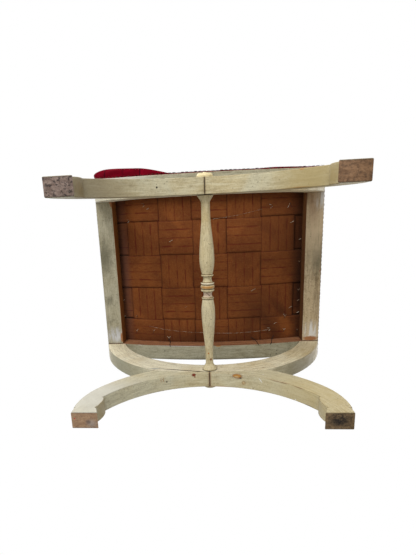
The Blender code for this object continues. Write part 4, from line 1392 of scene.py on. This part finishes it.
class TwineForm(Enum):
    """How a loose end of twine lies: lines on a square whose sides are 2, +Y to the rear."""

    FORK = (((-0.6, -0.9), (0.0, 0.0)), ((0.0, 0.0), (-0.5, 1.0)), ((0.6, -0.9), (0.0, 0.0)))
    CARET = (((-0.8, 0.8), (0.0, -0.8)), ((0.0, -0.8), (0.7, 0.8)))
    HOOK = (((-0.7, -0.7), (0.3, -0.5)), ((0.3, -0.5), (0.6, 0.2)), ((0.6, 0.2), (-0.2, 0.9)))
    DASH = (((-0.9, 0.4), (0.9, -0.5)),)


TWINE_ENDS = {
    TwineForm.FORK: (
        (-0.2121, -0.1805, 0.0062), (-0.2052, 0.1698, 0.0058), (-0.1553, 0.1674, 0.0052),
        (-0.1137, 0.1870, 0.0070), (0.1998, 0.1351, 0.0060), (0.1979, 0.1740, 0.0050),
        (0.2345, -0.0069, 0.0034), (0.2345, 0.0675, 0.0036), (0.2345, 0.1778, 0.0034)),
    TwineForm.CARET: ((0.2060, -0.1513, 0.0070), (-0.2019, 0.1263, 0.0040)),
    TwineForm.HOOK: (
        (-0.1638, -0.1682, 0.0056), (-0.2079, -0.1300, 0.0046), (0.1579, -0.1510, 0.0056),
        (0.1568, 0.1677, 0.0052)),
    TwineForm.DASH: (
        (-0.1525, -0.1580, 0.0036), (0.2123, -0.1095, 0.0050), (-0.2377, 0.0826, 0.0036),
        (-0.2385, 0.1286, 0.0036), (-0.0952, -0.0757, 0.0050), (-0.0632, 0.0986, 0.0030),
        (0.1135, 0.0586, 0.0060), (0.2130, 0.1120, 0.0046), (0.1728, 0.1522, 0.0034),
        (0.2345, -0.0657, 0.0030), (0.2345, 0.0947, 0.0034), (0.2345, 0.1278, 0.0030)),
}
STRAY_THREADS = (
    ((0.0136, -0.1261), (0.0450, -0.1290), (0.0758, -0.1330), (0.1060, -0.1385), (0.1354, -0.1448)),
    ((-0.1659, 0.1534), (-0.1300, 0.1610), (-0.0900, 0.1655), (-0.0550, 0.1681), (0.0050, 0.1715),
     (0.0656, 0.1734), (0.1150, 0.1722), (0.1596, 0.1690)),
)


@dataclass
class Twine:
    """Loose ends of the twine that stitches the webbing, stray threads and cords over a rail.

    Each cord has four places along X: on the webbing, over the rail's lip, under it and its tip.
    """

    seat: SeatShape
    radius: float = 0.00055
    thread_radius: float = 0.0002475
    cord_radius: float = 0.0008
    taper: float = 0.85
    sides: int = 6
    hang: float = 0.0002
    lip: float = 0.1947
    cord_start: float = 0.008
    cord_drop: float = 0.004
    cord_hang: tuple[float, float] = (0.0004, 0.0009)
    cords: tuple[tuple[float, float, float, float], ...] = (
        (0.1080, 0.1196, 0.1235, 0.1262), (0.1690, 0.1640, 0.1590, 0.1560),
        (-0.1137, -0.1100, -0.1079, -0.1065))

    def lay(self, x: float, y: float) -> Vector:
        """A point just under the webbing."""
        return Vector((x, y, self.seat.top(x) - self.hang))

    def stroke(self, bm: Shape, points: list[Vector], radius: float, is_dark: bool = False) -> None:
        """Adds straight lengths of twine from point to point.

        Args:
            bm: The shape to add them to.
            points: The points.
            radius: The radius of the twine.
            is_dark: True for dark twine.
        """
        for start, end in zip(points, points[1:]):
            rod = add_rod(bm, start, end, radius, radius * self.taper, self.sides, radius)
            for face in {face for vert in rod for face in vert.link_faces}:
                face.material_index = int(is_dark)

    def build(self) -> None:
        """Makes the twine; the second line of each loose end and the cords are dark, as painted shade."""
        bm = bmesh.new()
        for form, ends in TWINE_ENDS.items():
            for x, y, size in ends:
                for index, line in enumerate(form.value):
                    points = [self.lay(x + right * size, y + back * size) for right, back in line]
                    self.stroke(bm, points, self.radius, index == 1)
        for thread in STRAY_THREADS:
            self.stroke(bm, [self.lay(*place) for place in thread], self.thread_radius)
        hang, tip_hang = self.cord_hang
        for near, over, under, tip in self.cords:
            points = [self.lay(near, self.lip - self.cord_start),
                      Vector((over, self.lip, self.seat.top(over) - self.cord_drop)),
                      Vector((under, self.lip, self.seat.bottom(under) - hang)),
                      Vector((tip, self.lip + self.cord_drop, self.seat.bottom(tip) - tip_hang))]
            self.stroke(bm, points, self.cord_radius, True)
        pale = TwistedTwine("linen_twine", (214, 200, 178), (140, 104, 74)).build()
        # The dark twine is painted shade: the holes at the loose ends, and in part the gaps where the
        # cords cross the rail.
        dark = TwistedTwine("shade_dark_twine", (34, 24, 18), (20, 12, 10)).build()
        make_piece("loose_twine", bm, Sharp.CLOTH, [pale, dark], "jute_webbing")


# Painted shade in the creases of the velvet at the front.
VELVET_CREASE_SHADE = tuple(
    Mark((x, -0.252, 0.43), radius, (52, 0, 12), stretch, softness, strength)
    for x, radius, stretch, softness, strength in (
        (-0.2641, 0.0022, (1, 16, 14), 0.5, 0.9), (-0.1689, 0.0018, (1, 16, 14), 0.5, 0.9),
        (-0.2154, 0.003, (1, 10, 9), 0.9, 0.4)))
CLOTH = {
    "quality": 5, "mass": 0.35, "use_pressure": True, "uniform_pressure_force": 3.2,
    "vertex_group_mass": "held", "tension_stiffness": 12.0, "compression_stiffness": 8.0,
    "bending_stiffness": 0.6}


@dataclass
class VelvetSeat:
    """The stuffed seat in its velvet, and the nails along its hem.

    Its skin is a plain block that is moved into shape. A level is a height in that block: -1 at
    the hem, 0 at the rails and 1 on top.
    """

    seat: SeatShape
    crown_middle: float = 0.036
    crown_ends: float = 0.049
    edge_fall: float = 0.016
    side_bulge: float = 0.014
    front_bulge_middle: float = 0.004
    front_bulge_ends: float = 0.0195
    bulge_flat: float = 0.050
    bulge_full: float = 0.175
    corner_pull: float = 0.009
    full_corner: tuple[float, float] = (-0.004, 0.015)
    uneven_front: float = 0.007
    swell_start: float = 0.135
    corner_swell: float = 0.008
    rail_edge: float = 0.004
    stand_off: float = 0.0004
    thickness: float = 0.0019
    hem: float = 0.0178
    puff: float = 0.0026
    puff_level: float = -0.58
    puff_width: float = 0.13
    tuft: float = 0.0012
    tuft_waves: float = 9.0
    tuft_level: float = 0.3
    cuts: tuple[int, int] = (72, 62)
    levels: tuple[float, ...] = (-0.9, -0.8, -0.7, -0.6, -0.5, -0.4, -0.25, 0.0, 0.1, 0.22, 0.34,
                                 0.46, 0.58, 0.7, 0.81, 0.9, 0.96)
    most_swell: float = 0.006
    swell_frames: int = 20
    nail_line: float = 0.0225
    nail_pitch: float = 0.0106
    nail_radius: float = 0.0046
    nail_height: float = 0.0026
    nail_stray: float = 0.0005
    nail_lean: float = 0.06
    nail_sides: int = 12
    nail_step: float = 0.2
    nail_rises: tuple[float, float, float] = (0.45, 0.33, 0.17)
    stray_seed: int = 7
    lean_seed: int = 11

    def roll(self, level: float) -> float:
        """Works out how far the side of the seat stands out.

        Args:
            level: The level.

        Returns:
            The share of its bulge at that level.
        """
        if level < 0:
            puffed = math.exp(-((level - self.puff_level) / self.puff_width) ** 2)
            return self.puff / self.side_bulge * puffed
        if level < 0.5:
            return math.sin(math.pi * level) ** 0.9
        return 1.0 - 1.35 * (2 * level - 1) ** 2.2

    def front_bulge(self, x: float, y: float) -> float:
        """Works out how far the stuffing stands out past the end rails, most at the front left.

        Args:
            x: The place across the stool.
            y: The place from front to rear.

        Returns:
            The length.
        """
        share = soft_step(abs(x), self.bulge_flat, self.bulge_full)
        ends = self.front_bulge_ends
        if y < 0:
            ends -= self.uneven_front * math.copysign(1, x)
            ends += self.corner_swell * soft_step(-x, self.swell_start, self.seat.width / 2)
        return self.front_bulge_middle + (ends - self.front_bulge_middle) * share

    def crown(self, x: float, y: float) -> float:
        """Works out how high the stuffing stands above the dished line of the rails.

        Args:
            x: The place across the stool.
            y: The place from front to rear.

        Returns:
            The height.
        """
        along = min(1.0, abs(x) / (self.seat.width / 2))
        across = min(1.0, abs(y) / (self.seat.depth / 2))
        rise = self.crown_middle + (self.crown_ends - self.crown_middle) * soft_step(along, 0, 1)
        return rise - self.edge_fall * (1 - (1 - along ** 6) * (1 - across ** 6))

    def skin(self, x: float, y: float, level: float) -> Vector:
        """Where a point of the plain block goes on the stuffed seat's skin.

        Args:
            x: The place across the block.
            y: The place from front to rear.
            level: The point's level.

        Returns:
            The point.
        """
        share_x = 2 * x / self.seat.width
        share_y = 2 * y / self.seat.depth
        out = self.roll(level)
        corner = min(max(level, 0.0) / 0.25, 1.0) * (share_x * share_y) ** 10
        pull_x, pull_y = self.corner_pull, self.corner_pull
        if x < 0 and y < 0:
            fullness = 1 - soft_step(level, 0.45, 0.75)
            pull_x += (self.full_corner[0] - pull_x) * fullness
            pull_y += (self.full_corner[1] - pull_y) * fullness
            corner *= (share_x * share_y) ** (4 * fullness)
        grown = 1 + 2 * self.stand_off / self.seat.depth
        bulge_y = self.front_bulge(x, y) if level >= 0 else self.side_bulge
        moved_x = x * grown + share_x ** 5 * self.side_bulge * out
        moved_x -= math.copysign(1, x) * pull_x * corner
        moved_y = y * grown + share_y ** 5 * bulge_y * out - math.copysign(1, y) * pull_y * corner
        low = self.seat.top(x) + self.rail_edge
        far = self.seat.bottom(x) + self.hem if level < 0 else self.seat.top(x) + self.crown(x, y)
        return Vector((moved_x, moved_y, low + (far - low) * abs(level)))

    def block(self) -> Shape:
        """Makes the plain block, cut finely enough to be shaped and swelled.

        Returns:
            The block.
        """
        bm = bmesh.new()
        sides = (self.seat.width, self.seat.depth)
        bmesh.ops.create_cube(bm, size=1.0)
        bmesh.ops.scale(bm, vec=(*sides, 2.0), verts=bm.verts)
        cuts = [(axis, side * (share - 0.5)) for axis, (side, count)
                in enumerate(zip(sides, self.cuts)) for share in shares(count)[1:-1]]
        for axis, place in [*cuts, *((2, level) for level in self.levels)]:
            normal = Vector([float(way == axis) for way in range(3)])
            bmesh.ops.bisect_plane(bm, geom=bm.verts[:] + bm.edges[:] + bm.faces[:], dist=WELD,
                                   plane_co=normal * place, plane_no=normal)
        return bm

    def swell(self, piece: Piece, held: list[int]) -> None:
        """Presses the cover outwards as stuffing does, pinned where it meets the rails.

        Args:
            piece: The cover.
            held: The indices of the points that stay.
        """
        start = [vert.co.copy() for vert in piece.data.vertices]
        piece.vertex_groups.new(name="held").add(held, 1.0, "REPLACE")
        cloth = piece.modifiers.new("stuffing_pressure", "CLOTH")
        for name, value in CLOTH.items():
            setattr(cloth.settings, name, value)
        cloth.settings.effector_weights.gravity = 0.0
        cloth.collision_settings.use_collision = False
        cloth.point_cache.frame_start = 1
        cloth.point_cache.frame_end = self.swell_frames
        for frame in range(1, self.swell_frames + 1):
            bpy.context.scene.frame_set(frame)
        swollen = piece.evaluated_get(bpy.context.evaluated_depsgraph_get())
        ends = [vert.co.copy() for vert in swollen.to_mesh().vertices]
        swollen.to_mesh_clear()
        piece.modifiers.remove(cloth)
        bpy.context.scene.frame_set(1)
        for vert, before, after in zip(piece.data.vertices, start, ends):
            move = after - before
            if move.length > self.most_swell:
                move *= self.most_swell / move.length
            vert.co = before + move

    def build(self) -> None:
        """Makes the velvet seat, open below its hem, and its nails."""
        bm = self.block()
        plain = [vert.co.copy() for vert in bm.verts]
        for vert, place in zip(bm.verts, plain):
            vert.co = self.skin(*place)
            if place.z >= self.tuft_level:
                seed = Vector((vert.co.x * self.tuft_waves, vert.co.y * self.tuft_waves, 4.0))
                vert.co.z += noise.noise(seed) * self.tuft
        velvet = SilkVelvet("crimson_velvet", (92, 0, 16), (128, 0, 28), (180, 10, 40), VELVET_CREASE_SHADE)
        piece = make_piece("velvet_seat", bm, Sharp.DOME, [velvet.build()], "crimson_velvet",
                           "velvet_cover", "stuffing")
        self.swell(piece, [index for index, place in enumerate(plain) if place.z <= 0.001])
        bm = bmesh.new()
        bm.from_mesh(piece.data)
        floor = [face for face in bm.faces
                 if all(plain[vert.index].z < -0.999 for vert in face.verts)]
        bmesh.ops.delete(bm, geom=floor, context="FACES")
        bm.to_mesh(piece.data)
        bm.free()
        thicken(piece, self.thickness, 1.0)
        finer = piece.modifiers.new("finer_curves", "SUBSURF")
        finer.levels = 1
        finer.render_levels = 1
        self.build_nails()

    def nail_places(self) -> list[tuple[Vector, Vector]]:
        """Works out where the nails go.

        Returns:
            Where each nail sits on the velvet, and the direction that it faces.
        """
        dice = random.Random(self.stray_seed)
        face = self.stand_off + self.thickness
        half_x, half_y = self.seat.width / 2 + face, self.seat.depth / 2 + face
        places = []
        for reach, is_end in ((half_x, True), (half_y, False)):
            span = 2 * (reach - self.nail_radius)
            count = round(span / self.nail_pitch)
            for at in (span * (share - 0.5) for share in shares(count)):
                for way in (-1, 1):
                    stray = dice.uniform(-self.nail_stray, self.nail_stray)
                    hem = self.seat.bottom(at) if is_end else SEAT_UNDERSIDE
                    place = (at, way * half_y) if is_end else (way * half_x, at)
                    out = Vector((0, way, 0) if is_end else (way, 0, 0))
                    places.append((Vector((*place, hem + self.nail_line + stray)), out))
        return places

    def build_nails(self) -> None:
        """Makes the close row of domed nails along the hem."""
        bm = bmesh.new()
        dice = random.Random(self.lean_seed)
        for place, out in self.nail_places():
            lean = Euler((dice.uniform(-self.nail_lean, self.nail_lean),
                          dice.uniform(-self.nail_lean, self.nail_lean), 0)).to_matrix().to_4x4()
            disc = bmesh.ops.create_circle(
                bm, cap_ends=True, segments=self.nail_sides, radius=self.nail_radius,
                matrix=Matrix.Translation(place) @ upright(out) @ lean)
            top = list({face for vert in disc["verts"] for face in vert.link_faces})
            for rise in self.nail_rises:
                bmesh.ops.inset_region(bm, faces=top, thickness=self.nail_radius * self.nail_step,
                                       use_even_offset=True)
                bmesh.ops.translate(bm, verts=list({v for face in top for v in face.verts}),
                                    vec=out * self.nail_height * rise)
        metal = PaintedMetal("painted_nail_heads", (216, 206, 178), (112, 78, 40)).build()
        make_piece("upholstery_nails", bm, Sharp.DOME, [metal], "rail_paint")


@dataclass
class StudioStage:
    """The pale floor, the soft lamps, the white surround and the camera.

    Each lamp has its name, its place, the side of its square face and its power in watts.
    """

    floor_half: float = 4.0
    floor_drop: float = 0.0004
    lit_at: Place = (0.0, 0.0, 0.3)
    lamps: tuple[tuple[str, Place, float, float], ...] = (
        ("key_above", (-1.7, -1.9, 2.5), 2.2, 46.0), ("fill_above", (2.3, 0.6, 2.0), 2.4, 22.0),
        ("front_low", (-0.5, -2.4, -1.4), 1.9, 70.0), ("fill_below", (-0.3, -0.4, -1.9), 1.6, 6.0))
    surround_light: float = 0.34
    sensor_width: float = 36.0
    clip_start: float = 0.01
    lens: float = 26.68
    shift: tuple[float, float] = (0.0556, 0.0772)
    camera_place: Place = (0.01942, -0.14963, -0.65948)
    camera_turn: Place = (164.8733, -5.0989, 2.5894)

    def build_floor(self) -> None:
        """Makes a pale floor that is seen from above only, so that the view from below is clear."""
        bm = bmesh.new()
        bmesh.ops.create_grid(bm, x_segments=1, y_segments=1, size=self.floor_half)
        bmesh.ops.translate(bm, verts=bm.verts, vec=(0, 0, -self.floor_drop))
        floor = put("pale_floor", new_mesh("pale_floor", bm))
        sketch = FinishSketch("pale_floor")
        for name, value in (("Base Color", (0.86, 0.86, 0.85, 1.0)), ("Roughness", 0.9),
                            ("Specular IOR Level", 0.1)):
            sketch.feed(sketch.shader.inputs[name], value)
        clear = sketch.node("BsdfTransparent")
        below = sketch.node("NewGeometry").outputs["Backfacing"]
        rays = sketch.node("LightPath").outputs
        passing = sketch.maths("MAXIMUM", rays["Is Shadow Ray"], rays["Is Diffuse Ray"])
        mixed = sketch.node("MixShader", {0: sketch.maths("MAXIMUM", below, passing),
                                          1: sketch.shader.outputs[0], 2: clear.outputs[0]})
        sketch.feed(sketch.tree.nodes["Material Output"].inputs["Surface"], mixed.outputs[0])
        floor.data.materials.append(sketch.material)

    def build_surround(self) -> None:
        """Makes the white surround, dimmer where it only lights the stool."""
        world = bpy.data.worlds.new("white_surround")
        bpy.context.scene.world = world
        world.use_nodes = True
        world.node_tree.nodes.clear()
        sketch = TreeSketch(world.node_tree)
        seen = sketch.node("Background", {"Color": (1.0, 1.0, 1.0, 1.0)})
        light = sketch.node("Background", {"Color": (1.0, 0.99, 0.97, 1.0),
                                           "Strength": self.surround_light})
        rays = sketch.node("LightPath").outputs
        straight = sketch.maths("MAXIMUM", rays["Is Camera Ray"], rays["Is Glossy Ray"])
        straight = sketch.maths("MAXIMUM", straight, rays["Is Transmission Ray"])
        mixed = sketch.node("MixShader", {0: straight, 1: light.outputs[0], 2: seen.outputs[0]})
        sketch.node("OutputWorld", {"Surface": mixed.outputs[0]})

    def build_lamps(self) -> None:
        """Adds the lamps above the floor, and those that light the underside through it."""
        for name, place, size, power in self.lamps:
            light = bpy.data.lights.new(name, "AREA")
            light.size = size
            light.energy = power
            way = Vector(self.lit_at) - Vector(place)
            put(name, light, place, way.to_track_quat("-Z", "Y").to_euler())

    def build_camera(self) -> None:
        """Places the camera where the photograph was taken from: below, looking up."""
        data = bpy.data.cameras.new("photo_camera")
        data.sensor_width = self.sensor_width
        data.lens = self.lens
        data.shift_x, data.shift_y = self.shift
        data.clip_start = self.clip_start
        turn = Euler([math.radians(angle) for angle in self.camera_turn])
        bpy.context.scene.camera = put("photo_camera", data, self.camera_place, turn)
        bpy.context.scene.view_settings.view_transform = "Standard"

    def build(self) -> None:
        """Makes the whole stage."""
        self.build_floor()
        self.build_surround()
        self.build_lamps()
        self.build_camera()
        log.info("set the stage")


def main() -> None:
    """Loads the frame, dresses the stool and sets the stage."""
    logging.basicConfig(level=logging.INFO)
    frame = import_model()
    StudioStage().build()
    Woodwork(frame["nodes"]).build()
    Turnings().build()
    seat = SeatShape()
    for layer in (Webbing(seat), Twine(seat), VelvetSeat(seat)):
        layer.build()


if __name__ == "__main__":
    main()
